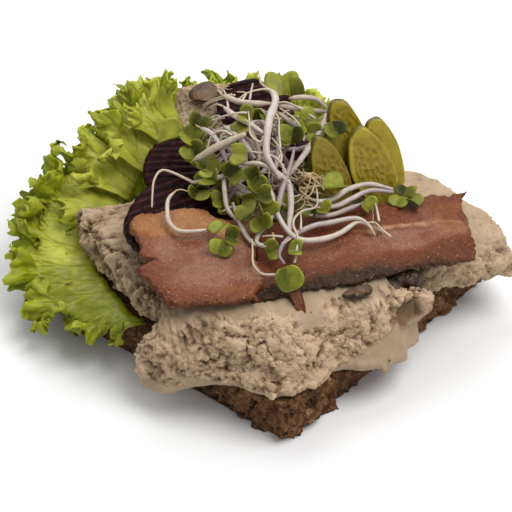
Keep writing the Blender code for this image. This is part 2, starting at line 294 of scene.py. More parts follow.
class Nodes:
    """A short way to write nodes: inputs are plain values or the output sockets of other nodes."""

    def __init__(self, tree):
        self.tree = tree

    def join(self, value, socket):
        """Links a node's output to a socket, or sets the socket to a plain value."""
        if isinstance(value, bpy.types.NodeSocket):
            self.tree.links.new(value, socket)
        else:
            socket.default_value = value

    def join_all(self, values, made):
        """Joins values to a node's inputs, in order."""
        for value, socket in zip(values, made.inputs):
            self.join(value, socket)

    def add(self, kind, out=0, **inputs):
        """A new node of any kind, as one of its outputs."""
        made = self.tree.nodes.new(kind)
        for name, value in inputs.items():
            self.join(value, made.inputs[name.replace("_", " ")])
        return made.outputs[out]

    def value(self, name):
        """A number that the mesh carries."""
        made = self.tree.nodes.new("ShaderNodeAttribute")
        made.attribute_name = name
        return made.outputs["Fac"]

    def mix(self, share, first, second):
        """The first colour turning into the second as `share` rises to 1."""
        made = self.tree.nodes.new("ShaderNodeMix")
        made.data_type = "RGBA"
        for value, at in ((share, 0), (first, 6), (second, 7)):
            self.join(value, made.inputs[at])
        return made.outputs[2]

    def math(self, operation, *values):
        """A sum, product or other working on numbers."""
        made = self.tree.nodes.new("ShaderNodeMath")
        made.operation = operation
        self.join_all(values, made)
        return made.outputs[0]

    def step(self, value, low, high, first=0.0, last=1.0):
        """Rises smoothly from `first` where the value is `low` to `last` where it is `high`."""
        made = self.tree.nodes.new("ShaderNodeMapRange")
        made.interpolation_type = "SMOOTHSTEP"
        self.join_all((value, low, high, first, last), made)
        return made.outputs[0]

    def noise(self, size, detail=3.0):
        """Soft noise with swells about `size` metres apart."""
        where = self.add("ShaderNodeTexCoord", "Object")
        return self.add("ShaderNodeTexNoise", Vector=where, Scale=1 / size, Detail=detail)

    def uneven(self, size, low, high, first, last):
        """A roughness that drifts from `first` to `last`, as noise of about `size` metres does."""
        return self.step(self.noise(size), low, high, first, last)

    def group(self, name, *values, out="Colour"):
        """A shared group, with its inputs in order."""
        build, inputs, outputs = GROUPS[name]
        made = self.tree.nodes.new("ShaderNodeGroup")
        made.node_tree = bpy.data.node_groups.get(name) or shared_group(name, build, inputs, outputs)
        self.join_all(values, made)
        return made.outputs[out]

    def creviced(self, colour, deep, low, high):
        """A colour with painted shade: it turns into `deep` where the piece's own relief is low."""
        return self.group("Crevice", colour, deep, self.value("relief"), low, high)


def mottle(nodes, first, second, size, spread):
    """Two colours in soft patches of about `size` metres."""
    where = nodes.add("ShaderNodeTexCoord", "Object")
    scale = nodes.math("DIVIDE", 1.0, size)
    patches = nodes.add("ShaderNodeTexNoise", Vector=where, Scale=scale, Detail=4.0)
    low, high = (nodes.math(operation, 0.5, spread) for operation in ("SUBTRACT", "ADD"))
    mask = nodes.step(patches, low, high)
    return nodes.mix(mask, first, second), mask


def specks(nodes, ground, speck, size, width, share):
    """Scattered specks of another colour, about `size` metres apart."""
    where = nodes.add("ShaderNodeTexCoord", "Object")
    scale = nodes.math("DIVIDE", 1.0, size)
    cells = nodes.add("ShaderNodeTexVoronoi", "Distance", Vector=where, Scale=scale)
    chance = nodes.add("ShaderNodeSeparateColor", 0, Color=cells.node.outputs["Color"])
    inside = nodes.step(cells, nodes.math("MULTIPLY", width, 0.6), width, 1.0, 0.0)
    mask = nodes.math("MULTIPLY", inside, nodes.math("LESS_THAN", chance, share))
    return nodes.mix(mask, ground, speck), mask


def crevice(nodes, colour, deep, relief, low, high):
    """Paints shade into a colour: turns it into a deeper one where the relief is low."""
    return (nodes.mix(nodes.step(relief, low, high), deep, colour),)


GREY = (0.5, 0.5, 0.5, 1.0)

GROUPS = {
    # name: what builds it, its inputs with their usual values, and its outputs
    "Mottle": (mottle, {"First": GREY, "Second": GREY, "Size": 0.005, "Spread": 0.2}, ("Colour", "Mask")),
    "Specks": (
        specks, {"Ground": GREY, "Speck": GREY, "Size": 0.001, "Width": 0.3, "Share": 0.5},
        ("Colour", "Mask"),
    ),
    "Crevice": (crevice, {"Colour": GREY, "Deep": GREY, "Relief": 0.5, "Low": 0.2, "High": 0.6}, ("Colour",)),
}


def shared_group(name, build, inputs, outputs):
    """A node group for several materials, with named colours and numbers going in and out."""
    made = bpy.data.node_groups.new(name, "ShaderNodeTree")
    for socket, value in inputs.items():
        kind = "NodeSocketColor" if value is GREY else "NodeSocketFloat"
        made.interface.new_socket(socket, in_out="INPUT", socket_type=kind).default_value = value
    for socket in outputs:
        kind = "NodeSocketColor" if socket == "Colour" else "NodeSocketFloat"
        made.interface.new_socket(socket, in_out="OUTPUT", socket_type=kind)
    nodes = Nodes(made)
    given, wanted = made.nodes.new("NodeGroupInput"), made.nodes.new("NodeGroupOutput")
    nodes.join_all(build(nodes, *(given.outputs[socket] for socket in inputs)), wanted)
    return made


class Finish(Nodes):
    """The nodes of a new material, which end in its own shader."""

    def __init__(self, name, moist=None, **constants):
        """Sets the finish's constants on the shader.

        A `moist` piece lets light in: how much, how deep in metres, and how far each colour goes.
        """
        old = bpy.data.materials.get(name)
        if old:
            bpy.data.materials.remove(old)
        self.material = bpy.data.materials.new(name)
        self.material.use_nodes = True
        super().__init__(self.material.node_tree)
        self.shader = self.tree.nodes["Principled BSDF"]
        if moist:
            constants.update(zip(("Subsurface_Weight", "Subsurface_Scale", "Subsurface_Radius"), moist))
        for key, value in constants.items():
            self.shader.inputs[key.replace("_", " ")].default_value = value

    def done(self, colour, height=None, rise=0.0002, roughness=None):
        """The material, once a colour, and perhaps a roughness and a bump of `rise` metres, are joined."""
        self.join(colour, self.shader.inputs["Base Color"])
        if roughness is not None:
            self.join(roughness, self.shader.inputs["Roughness"])
        if height is not None:
            bumps = self.add("ShaderNodeBump", "Normal", Height=height, Distance=rise, Strength=1.0)
            self.join(bumps, self.shader.inputs["Normal"])
        return self.material


# ---------------------------------------------------------------- rye slice


class RyeSettings(PropertyGroup):
    facet: length_field("Facet", "Size of the crumb's facets", 0.64, 0.2)
    depth: length_field("Crumb depth", "How far crumb lumps stand out of the cut sides", 1.5)
    crumb: colour_field("Crumb", "Colour of the crumb", 132, 93, 62)
    dark: colour_field("Dark crumb", "Colour of its darker patches", 72, 46, 29)
    # The pore colour is painted shade: it stands for the shadow deep in the pores.
    pore: colour_field("Pores", "Colour deep in the pores", 38, 24, 15)
    kernel: colour_field("Kernels", "Colour of the cut rye kernels", 168, 134, 96)


def rye_material(settings):
    nodes = Finish("rye crumb", Roughness=0.88, Specular_IOR_Level=0.2)
    ruddy = nodes.mix(0.5, settings.dark, paint(112, 58, 34))
    shade = nodes.group("Mottle", settings.dark, ruddy, 0.007, 0.1)
    ground = nodes.group("Mottle", shade, settings.crumb, 0.0032, 0.2)
    # The darker flecks mixed toward the pore colour are painted shade of fine pores.
    holed, grainy = nodes.mix(0.35, ground, settings.pore), nodes.mix(0.25, ground, settings.kernel)
    flaked = nodes.group("Mottle", holed, grainy, 0.0009, 0.14)
    seeded = nodes.group("Specks", flaked, settings.kernel, 0.0036, 0.34, 0.16)
    # Painted shade: the crumb turns to the pore colour where its relief is low, in the pits and creases.
    colour = nodes.creviced(seeded, settings.pore, -0.7, 0.35)
    grain = nodes.math("ADD", nodes.noise(0.0005, 4.0), nodes.noise(0.0014, 4.0))
    return nodes.done(colour, grain, 0.0008)


CRUMB_TOP = 13.4  # mm, just under the top of the plain slice


class SANDWICH_OT_rye(Operator):
    """Makes the rye slice, with a coarse crumb, open pores and ragged cut sides"""

    bl_idname = "sandwich.rye"
    bl_label = "Rye slice"

    def execute(self, context):
        settings = context.scene.sandwich_rye
        mesh = fine_copy("bread", settings.facet)
        points, normals = read_points(mesh)
        cut = 1 - step(np.abs(normals[:, 2]), 0.4, 0.85)
        bent = warped(points, 2.6 * MM, 3, 0, 1.3 * MM)
        clumps = lumps(bent, 5.0 * MM, 1)
        bits = lumps(bent, 2.1 * MM, 2)
        crumbs = swells(points, 3.4 * MM, 6, 5, 0.3)
        pores = step(swells(points, 3.4 * MM, 4, 4, 0.6), 0.3, 0.62)
        relief = 0.35 * clumps + 0.35 * bits + 0.6 * crumbs - 0.6 * pores
        push = settings.depth * (0.15 + 0.85 * cut) * (relief - 0.15)
        push += cut * 2.0 * MM * (swells(points, 9 * MM, 4, 6, 0.6) + 0.1)
        low = step(4 * MM - points[:, 2], 0, 4 * MM)
        push -= cut * 1.6 * MM * low * (0.4 + swells(points, 4.5 * MM, 2, 8))
        moved = points + normals * push[:, None]
        moved[:, 2] = np.clip(moved[:, 2], 0.0, CRUMB_TOP * MM)
        mesh.vertices.foreach_set("co", moved.ravel())
        keep_values(mesh, relief=relief)
        serve(mesh, "rye_slice", rye_material(settings), "rye_bread", "bread")
        return {"FINISHED"}


# ---------------------------------------------------------------- pate


class PateSettings(PropertyGroup):
    facet: length_field("Facet", "Size of the facets", 0.53, 0.2)
    depth: length_field("Crumble", "Height of the crumbs where the pate is broken", 1.5)
    broken: colour_field("Broken", "Colour of the broken pate", 217, 188, 153)
    smooth: colour_field("Smooth", "Colour of the spread and cut pate", 165, 143, 117)
    # The deep colour is painted shade in the pits and cracks; it also tints the darker patches and specks.
    deep: colour_field("Deep", "Colour in the pits and cracks", 112, 86, 62)


def pate_material(settings):
    nodes = Finish("liver pate", (0.12, 0.001, (1.0, 0.6, 0.4)), Specular_IOR_Level=0.35)
    broken = nodes.value("broken")
    ground = nodes.mix(broken, settings.smooth, settings.broken)
    shade = nodes.mix(0.3, ground, settings.deep)
    patched = nodes.group("Mottle", shade, ground, 0.006, 0.3)
    herbed = nodes.group("Specks", patched, settings.deep, 0.0022, 0.22, 0.12)
    # Painted shade: the pate turns to the deep colour where its relief is low.
    colour = nodes.creviced(herbed, settings.deep, -0.75, 0.28)
    fine = nodes.math("ADD", nodes.noise(0.0005, 4.0), nodes.noise(0.0013, 3.0))
    pitted = nodes.math("MULTIPLY", fine, nodes.step(broken, 0.0, 1.0, 0.15, 1.0))
    return nodes.done(colour, pitted, 0.0009, nodes.step(broken, 0.0, 1.0, 0.55, 0.85))


def front_broken(along, back, up):
    """The front slab is broken, but for its spread right corner, its top under the bacon and its lip."""
    spread = np.interp(along, (5, 10, 18, 22, 25, 28, 31, 36), (11, 15.5, 17.4, 18.5, 20.1, 21.4, 22.2, 22.8))
    smooth = step(spread - up, -0.4, 1.0)
    smooth += step(14.6 - up, 0, 1) * step(-along, -4, 4) * (1 - step(-along, 30, 36))
    smooth += step(back, -45.6, -44.2) * step(27 - along, 0, 5) * step(up, 24.5, 26.5)
    smooth += 1 - step(np.hypot((along - 3.4) / 4.5, (back + 47) / 2.6), 0.7, 1.2)
    return 1 - np.clip(smooth, 0, 1) * (1 - step(along, 33, 35) * step(up, 17, 19))


SLABS = {
    # solid: its facet as a share of the usual one, where it is broken, how pitted, how much painted shade it
    # carries (below 0, painted light), and its seed
    "pate_front": (0.8, front_broken, 0.5, -0.05, 11),
    "pate_left": (0.96, lambda along, back, up: 0.5 + 0.45 * step(26.5 - up, 0, 2), 2.4, 0.2, 23),
    "pate_right": (1.0, lambda along, back, up: 0.3 + 0.5 * step(25 - up, 0, 3), 1.0, 0.0, 37),
    "pate_back": (1.0, lambda along, back, up: 0.55 + 0.25 * step(along, -6, 0), 1.4, -0.1, 51),
}


def right_dent(along, back, up):
    """How deep a point lies in the dent at the front slab's right end, from 0 to 1."""
    return bump(np.hypot(np.hypot(along - 31.4, (back + 43.6) * 0.8), up - 20), 0, 3.4)


def front_shape(along, back, up):
    """Shapes the front slab: drawn in by the corner, dented at the right, with a small drip below.

    Its top runs on back under the bacon.
    """
    nip = bump(along, 9, 6) * step(-back, 44, 54)
    drip = bump(along, 22.5, 1.1) * step(17 - up, 0, 4) * step(-back, 45, 50)
    dent = right_dent(along, back, up)
    tuck = step(along, 28, 37) * step(20 - up, 0, 7)
    under = step(back, -47, -41.5) * step(up, 20, 25) * step(along, -38, -33) * step(29 - along, 0, 5)
    back = back + 3.2 * nip - 0.5 * drip + 3.2 * dent + 5.5 * under + 1.5 * tuck
    return along - 2.6 * dent - 5 * tuck, back, up - 2.4 * drip + 1.4 * under


def pate_slab(node, share, find_broken, pitted, dull, seed, settings):
    """One slab: clods, crumbs and pits where it is broken, low waves where it is smooth."""
    mesh = fine_copy(node, settings.facet * share)
    points, normals = read_points(mesh)
    edge = 2 * swells(points, 4 * MM, 2, seed)
    along, back, up = in_toppings(points)
    broken = np.clip(find_broken(along + edge, back + edge, up + 0.3 * edge), 0, 1)
    bent = warped(points, 2.5 * MM, 2, seed, 0.8 * MM)
    clods, crumbs = lumps(bent, 7.0 * MM, seed), lumps(bent, 3.0 * MM, seed + 1)
    grains = lumps(points, 1.5 * MM, seed + 2)
    rugged = swells(points, 3.0 * MM, 5, seed + 3, 0.5)
    pits = step(swells(points, 3.2 * MM, 5, seed + 4, 0.6), 0.36, 0.7)
    cracks = 1 - step(np.abs(swells(points, 17 * MM, 4, seed + 5)), 0.0, 0.04)
    relief = 0.56 * clods + 0.34 * crumbs + 0.32 * grains + 0.5 * rugged
    relief = relief - 0.38 * pitted * pits - 0.45 * cracks
    bulges, waves = swells(points, 8 * MM, 2, seed + 6), swells(points, 7 * MM, 3, seed + 7)
    push = settings.depth * broken * (relief - 0.6) + 1.5 * MM * broken * bulges
    push += (1 - broken) * (0.5 * MM * waves - 0.2 * MM * pits)
    moved = points + normals * push[:, None]
    # Painted shade over the whole slab: the last term darkens its colour, or lightens it where it is below 0.
    relief = (relief - 0.5) * (0.25 + 0.75 * broken) + 0.3 * (1 - broken) - dull
    if node == "pate_front":
        # Painted shade in the dent at the right end.
        relief = relief - 2.0 * right_dent(*in_toppings(moved))
        moved = on_bread(np.column_stack(front_shape(*in_toppings(moved))))
    mesh.vertices.foreach_set("co", moved.ravel())
    keep_values(mesh, relief=relief, broken=broken)
    return mesh


class SANDWICH_OT_pate(Operator):
    """Makes the slabs of pate: crumbly where they are broken, smooth where cut or spread"""

    bl_idname = "sandwich.pate"
    bl_label = "Pate"

    def execute(self, context):
        settings = context.scene.sandwich_pate
        material = pate_material(settings)
        for node, look in SLABS.items():
            mesh = pate_slab(node, *look, settings)
            serve(mesh, node.replace("pate", "pate_slab"), material, "liver_pate", node)
        return {"FINISHED"}


# ---------------------------------------------------------------- bacon


class BaconSettings(PropertyGroup):
    thickness: length_field("Thickness", "Thickness of a rasher", 2.2, 0.5)
    lean: colour_field("Lean", "Colour of the lean meat", 112, 52, 28)
    pale: colour_field("Pale lean", "Colour of the soft, pale meat", 140, 95, 76)
    fat: colour_field("Fat", "Colour of the fat", 166, 108, 56)
    cream: colour_field("Cream", "Colour of the thin streak of soft fat", 182, 142, 110)
    browned: colour_field("Browned", "Colour of the browned rim", 104, 48, 19)
    # The burnt colour also serves as painted shade in the creases.
    burnt: colour_field("Burnt", "Colour of the darkest, bubbly edge", 42, 28, 18)


def bacon_material(settings):
    nodes = Finish(
        "fried bacon", (0.1, 0.0015, (1.0, 0.35, 0.25)), Specular_IOR_Level=0.25,
        Coat_Weight=0.08, Coat_Roughness=0.3,
    )
    marks = (nodes.value(name) for name in ("pale", "cream", "browned", "burnt", "fat"))
    pale, cream, browned, burnt, fat = marks
    ruddy = nodes.mix(0.5, settings.lean, settings.browned)
    lean = nodes.group("Mottle", ruddy, settings.lean, 0.006, 0.2)
    soft = nodes.mix(pale, lean, settings.pale)
    fatty = nodes.mix(fat, soft, settings.fat)
    toasted = nodes.mix(cream, nodes.mix(browned, fatty, settings.browned), settings.cream)
    charred = nodes.mix(burnt, toasted, settings.burnt)
    darker, fatter = nodes.mix(0.3, charred, settings.burnt), nodes.mix(0.12, charred, settings.fat)
    grainy = nodes.group("Mottle", darker, fatter, 0.0007, 0.16)
    # Painted highlights: the pale specks stand for small glints on the greasy meat.
    crumbs = nodes.mix(0.3, settings.fat, paint(225, 205, 180))
    speckled = nodes.group("Specks", grainy, crumbs, 0.001, 0.2, 0.3)
    # Painted shade: the bacon turns to the burnt colour where its relief is low, in the creases between
    # bubbles and fibres.
    colour = nodes.creviced(speckled, settings.burnt, -1.1, -0.1)
    grease = nodes.group("Mottle", GREY, GREY, 0.002, 0.12, out="Mask")
    fine = nodes.math("ADD", nodes.noise(0.0004, 4.0), nodes.noise(0.0011, 2.0))
    shine = nodes.math("ADD", nodes.step(grease, 0.0, 1.0, 0.34, 0.55), nodes.math("MULTIPLY", burnt, 0.3))
    return nodes.done(colour, fine, 0.0003, shine)


def long_middle(along, back):
    """Height of the long rasher's middle: it falls to the front and right in slow waves."""
    fall = 2.2 * step(along, 28, 56)
    curl = 1.8 * step(along, 49, 54) * step(back, -15, -7)
    return 33.6 + 0.13 * (back + 8) - fall + 0.6 * np.sin(along / 11 + 0.4) + curl


def short_middle(along, back):
    """Height of the short rasher's middle, which drops a little in front."""
    return 37.2 + 0.125 * (back + 7) - 1.2 * step(-back, 29, 42) + 0.3 * np.sin(along / 6)


def long_look(share, across, along, back, ragged):
    """How pale, fat, creamy, browned and burnt the long rasher is; its browning holds some painted shadow
    too.
    """
    drift = 0.014 * ragged
    line = np.interp(along, (18, 30, 41, 54), (0.35, 0.40, 0.43, 0.48)) + drift
    low = np.interp(along, (-8, 10, 26, 38, 45, 54), (0.66, 0.73, 0.75, 0.79, 0.73, 0.66)) + drift
    right = step(along, 39, 46)
    stripe = bump(across, line, 0.028 + 0.02 * right) * step(along, 19, 27)
    under = bump(across - line, 0.05, 0.02) * step(along, 19, 27) * (1 - right)
    band = step(across, line + 0.02, line + 0.10) * (1 - step(across, low - 0.10, low))
    patch = 1 - step(np.hypot(along - 40, back + 14) / 9, 0.4, 1.2)
    pale = band * (0.25 + 0.75 * step(along, 8, 30)) + 0.35 * patch
    crisp = 1 - step(np.hypot((along - 49.5) / 7, (back + 15) / 4), 0.4, 1.3)
    below = step(across, low - 0.02, low + 0.07)
    rim = step(across + drift, 0.93, 1.0) + step(0.05 - across - drift, 0, 0.05)
    rim = rim + step(share + drift, 0.975, 1.0)
    seam = 1 - step(along - 0.16 * (back + 39) + 10 + ragged, 0, 6)
    browned = below * (0.75 + 0.2 * right) + 0.5 * rim + 0.3 * seam + 0.2 * crisp + 0.35 * under
    # The rear part above the stripe is browned: partly real browning, partly painted shadow under the heap of
    # sprouts.
    browned += 0.5 * (1 - step(across, line - 0.06, line)) * step(ragged, -1.0, 1.2)
    burnt = 0.9 * step(across + drift, 0.83, 0.95) * (1 - step(along, 21, 30)) + 0.25 * under + 0.22 * below
    burnt += 0.45 * step(across + drift, 0.84, 0.98) * (1 - right) + 0.3 * step(across + drift, 0.97, 1.0)
    cream = 1.1 * stripe * (1 - 0.75 * step(along, 40, 46)) * (0.7 + 0.3 * np.sin(along * 1.3))
    return pale, 0.4 * stripe + 0.6 * crisp + 0.3 * band * right, cream, browned, burnt


def short_look(share, across, along, back, ragged):
    """How pale, fat, creamy, browned and burnt the short rasher is."""
    drift = 0.014 * ragged
    rind = 1 - step(across + drift - 0.03 * np.sin(9 * share), 0.20, 0.32)
    rim = step(across + drift, 0.84, 0.97)
    side = 1 - step(share + drift, 0.02, 0.13)
    tongue = (1 - step(share + drift, 0.12, 0.26)) * step(across, 0.55, 0.66)
    pale = step(share, 0.05, 0.25) * step(across, 0.24, 0.36) * (1 - step(across, 0.72, 0.92))
    browned = 0.75 * rim + 0.4 * side * (1 - rind) + 0.7 * tongue + 0.28 * rind * step(ragged, -0.4, 1.4)
    browned += 0.35 * (1 - step(across, 0.0, 0.05))
    burnt = 0.3 * step(across + drift, 0.96, 1.0) + 0.35 * (1 - step(share, 0.0, 0.025))
    fat = 0.9 * rind + 0.25 * (1 - pale) * (1 - rind)
    return pale, fat, 0.25 * rind * step(share, 0.1, 0.25), browned, burnt


def left_bite(across):
    """How far in mm the short rasher's left end is drawn in, with the torn bite at its middle."""
    places = (0.0, 0.06, 0.16, 0.38, 0.52, 0.60, 0.67, 0.80, 0.92, 1.0)
    return np.interp(across, places, (2.4, 0.4, -0.6, 0.0, 0.4, 3.6, -2.2, 0.6, 1.6, 3.6))


RASHERS = {
    # solid: rear and front edge (along, back) in mm, height, looks, points along and across, seed
    "bacon_long": (
        [(-3.6, -13), (14, -11.5), (29, -10.6), (40, -9.2), (47, -7.2), (54, -8.4)],
        [(-10.8, -40), (4, -39.6), (24, -37.8), (40, -34.2), (52.5, -32.6)],
        long_middle, long_look, (250, 72), 61,
    ),
    "bacon_short": (
        [(-37, -7.8), (-28, -8.6), (-20, -8), (-13.5, -13.4), (-4, -13.6)],
        [(-37.5, -38.5), (-26, -42), (-9.8, -42)],
        short_middle, short_look, (160, 84), 71,
    ),
}


def between(rear, front, share, across):
    """The flat plan of a rasher: along and back for each share of its length and of its width."""
    spots = np.linspace(0, 1, 400)
    rear, front = (smooth_path(line, len(spots)) for line in (rear, front))
    return [
        np.interp(share, spots, rear[:, axis])[:, None] * (1 - across)
        + np.interp(share, spots, front[:, axis])[:, None] * across
        for axis in (0, 1)
    ]


def rasher(node, rear, front, middle, look, steps, seed, thickness):
    """One rasher as a closed skin: over its top from the rear edge to the front one, and back below."""
    columns, half_round = steps
    turn = np.arange(2 * half_round) / half_round * math.pi
    across = (1 - np.cos(turn)) / 2 * 0.6 + 0.4 * np.minimum(turn, 2 * math.pi - turn) / math.pi
    side = np.where(turn <= math.pi, 1.0, -1.0) * np.abs(np.sin(turn)) ** 0.28
    share = (1 - np.cos(np.linspace(0, math.pi, columns))) / 2 * 0.25 + 0.75 * np.linspace(0, 1, columns)
    closing = np.clip(np.minimum(share, 1 - share) / 0.012, 0, 1) ** 0.5
    along, back = between(rear, front, share, across)
    s, v = np.broadcast_arrays(share[:, None], across)
    plan = np.stack([along, back, np.zeros_like(along)], axis=-1)
    ragged = swells(plan, 7, 4, seed)
    torn = swells(plan, 2.4, 3, seed + 1)
    crumbly = swells(plan, 1.0, 2, seed + 6)
    # ragged edges, with more of a tear at the two ends
    near_edge = step(np.abs(v - 0.5), 0.40, 0.5)
    back += np.sign(0.5 - v) * near_edge * (0.9 * ragged + 0.5 * torn + 0.5 * crumbly)
    ends = step(np.abs(s - 0.5), 0.46, 0.5)
    rough = 1.0 if node == "bacon_short" else 0.45
    along += np.sign(s - 0.5) * ends * (rough * (1.8 * ragged + 1.0 * torn) + 0.5 * crumbly)
    if node == "bacon_short":
        along += left_bite(v) * (1 - step(s, 0.0, 0.16))
    masks = look(s, v, along, back, 2.5 * ragged)
    pale, fat, cream, browned, burnt = (np.clip(mask, 0, 1) for mask in masks)
    blotches = swells(plan * (0.6, 1.0, 1.0), 6, 4, seed + 5)
    pale = np.clip(pale * (1 + 0.9 * blotches) + 0.25 * blotches, 0, 1)
    fibres = swells(plan * (0.35, 1.0, 1.0), 1.5, 3, seed + 2)
    buckles = swells(plan, 9, 3, seed + 3)
    bubbles = lumps(plan, 1.9, seed + 4) - 0.4
    crust = np.clip(burnt + 0.5 * browned, 0, 1)
    relief = 0.22 * fibres + 0.6 * bubbles * (0.15 + crust) + 0.15 * torn
    half = thickness / MM / 2 * side[None] * closing[:, None]
    top = np.clip(side, 0, 1)[None] * closing[:, None]
    up = middle(along, back) + half + 0.6 * buckles + 0.55 * relief * (top + 0.4) + 0.45 * fat * top
    if node == "bacon_long":
        # a tail of fat that hangs down in front, and a browned tip at the right
        tail = step(along, -1.6, -0.6) * step(2.2 - along, 0, 1) * step(v, 0.90, 1.0)
        along, back, up = along + 1.2 * tail, back - 5.2 * tail, up - 3.0 * tail**2
        tip = step(s, 0.94, 1.0) * (1 - step(v, 0.0, 0.13)) * (1 + 0.3 * torn)
        along, back, up = along + 1.8 * tip, back - 0.6 * tip, up + 0.4 * tip
        browned = np.clip(browned + 0.7 * tip, 0, 1)
        burnt, fat = burnt * (1 - tail), np.maximum(fat, 0.45 * tail)
    return Pile().add(
        on_bread(np.stack([along, back, up], axis=-1)), grid_faces(columns, len(turn), closed=True),
        relief=relief, pale=pale, fat=fat, cream=cream, browned=browned, burnt=burnt,
    )


class SANDWICH_OT_bacon(Operator):
    """Makes the two rashers of bacon, waved, torn at the ends and browned at the rim"""

    bl_idname = "sandwich.bacon"
    bl_label = "Bacon"

    def execute(self, context):
        settings = context.scene.sandwich_bacon
        material = bacon_material(settings)
        for node, cut in RASHERS.items():
            pile = rasher(node, *cut, settings.thickness)
            serve(pile.mesh(node), node.replace("bacon", "rasher"), material, "fried_bacon", node)
        return {"FINISHED"}


# ---------------------------------------------------------------- beetroot


class BeetrootSettings(PropertyGroup):
    thickness: length_field("Thickness", "Thickness of a slice", 3, 1)
    pitch: length_field("Ridge pitch", "Distance from one crinkle to the next", 2.9, 1)
    ridge: length_field("Ridge height", "Height of a crinkle", 0.42)
    flesh: colour_field("Flesh", "Colour of the flesh", 52, 13, 15)
    ring: colour_field("Rings", "Colour of the darker growth rings", 27, 7, 8)


def beetroot_material(settings):
    nodes = Finish("pickled beetroot", (0.1, 0.001, (1.0, 0.2, 0.25)), Specular_IOR_Level=0.08)
    ringed = nodes.mix(nodes.value("ring"), settings.flesh, settings.ring)
    patched = nodes.group("Mottle", nodes.mix(0.5, ringed, settings.ring), ringed, 0.004, 0.2)
    # Painted highlight: the tops of the ridges turn, in soft patches, a little towards a pale mauve sheen.
    bloom = nodes.group("Mottle", GREY, GREY, 0.0016, 0.1, out="Mask")
    worn = nodes.math("MULTIPLY", bloom, nodes.step(nodes.value("ridge"), 0.5, 1.0, 0.0, 0.1))
    colour = nodes.mix(worn, patched, paint(140, 100, 108))
    grain, shine = nodes.noise(0.0007, 4.0), nodes.uneven(0.0015, 0.35, 0.65, 0.38, 0.55)
    return nodes.done(colour, grain, 0.0003, shine)


BEETROOTS = {
    # solid: centre (along, back, up) in mm, tilt about along and back, turn in degrees, radius in mm
    "beetroot_left": ((-22, -8, 33.2), (7, -1), 20, 18),
    "beetroot_middle": ((-13, 18.6, 31.6), (3, 0), -10, 17),
    "beetroot_right": ((21, 18, 30.2), (3, 0), 30, 13),
    "beetroot_back": ((6, 38, 36.0), (16, 0), 12, 11),
}


def beetroot_slice(centre, tilt, turn, radius, settings, seed):
    """A crinkle-cut slice, a little out of round and drooping at its rim."""
    angle = spokes_from(0, 120)
    rim = radius * (1 + 0.035 * np.sin(2 * angle + seed) + 0.02 * np.sin(5 * angle + 2 * seed))
    x, y, out, side, faces = disc(rim, angle, 36, 0.9)
    rounded = round_rim(out, 0.93, 0.07)
    wave = np.sin(math.tau * y / (settings.pitch / MM))
    crinkle = settings.ridge / MM * np.sign(wave) * np.abs(wave) ** 0.75
    half = settings.thickness / MM / 2 * (side * rounded)
    rough = swells(np.column_stack([x, y, half]), 1.6, 3, seed)
    droop = -0.9 * (x**2 + y**2) / radius**2 * np.resize(0.6 + 0.4 * np.sin(angle + seed), len(x))
    points = laid(x, y, half + crinkle + 0.16 * rough + droop, centre, turn, tilt[1], tilt[0])
    rings = 0.5 + 0.5 * np.sin(out * radius * 1.5 + rough)
    return Pile().add(points, faces, ring=rings, ridge=0.5 + 0.5 * wave * side)


class SANDWICH_OT_beetroot(Operator):
    """Makes the crinkle-cut slices of beetroot"""

    bl_idname = "sandwich.beetroot"
    bl_label = "Beetroot"

    def execute(self, context):
        settings = context.scene.sandwich_beetroot
        material = beetroot_material(settings)
        for seed, (node, placed) in enumerate(BEETROOTS.items()):
            pile = beetroot_slice(*placed, settings, seed)
            serve(pile.mesh(node), node.replace("beetroot", "beet_slice"), material, "beetroot", node)
        return {"FINISHED"}


# ---------------------------------------------------------------- gherkins


class GherkinSettings(PropertyGroup):
    thickness: length_field("Thickness", "Thickness of a slice", 2.6, 1)
    flesh: colour_field("Flesh", "Colour of the flesh", 176, 157, 44)
    # The seed core colour also serves as the painted shade of the slices that lie in shade.
    core: colour_field("Seed core", "Colour round the seeds", 122, 103, 18)
    skin: colour_field("Skin", "Colour of the skin", 80, 76, 16)
    seed: colour_field("Seeds", "Colour of the seeds", 160, 145, 58)


def gherkin_material(settings):
    nodes = Finish(
        "pickled gherkin", (0.35, 0.002, (1.0, 0.9, 0.25)), Specular_IOR_Level=0.4,
        Coat_Weight=0.12, Coat_Roughness=0.2,
    )
    shade = nodes.mix(0.35, settings.flesh, settings.core)
    flesh = nodes.group("Mottle", shade, settings.flesh, 0.0035, 0.2)
    cored = nodes.mix(nodes.value("core"), flesh, settings.core)
    seeded = nodes.mix(nodes.value("seed"), cored, settings.seed)
    colour = nodes.mix(nodes.value("skin"), seeded, settings.skin)
    grain, shine = nodes.noise(0.0008, 3.0), nodes.uneven(0.002, 0.3, 0.7, 0.25, 0.5)
    return nodes.done(colour, grain, 0.0002, shine)


GHERKINS = {
    # solid: foot (along, back, up) in mm, lean back and sideways and turn in degrees, length and
    # width in mm, whether the cut runs through the seeds, and how much painted shade it carries
    "gherkin_1": ((21.2, -6.6, 28.4), (14, -13, 14), 25.5, 10.5, True, 0.7),
    "gherkin_2": ((25.8, -1.3, 28.4), (18, -12, 10), 24, 10, False, 0.55),
    "gherkin_3": ((33.9, -5, 28.4), (18, -16, 8), 25, 12.5, True, 0.1),
    "gherkin_4": ((37.4, -1.2, 28.4), (18, -11, 8), 24.5, 10, False, 0.0),
    "gherkin_5": ((29.0, 2.5, 28.4), (18, -10, 10), 29, 11, True, 0.3),
}


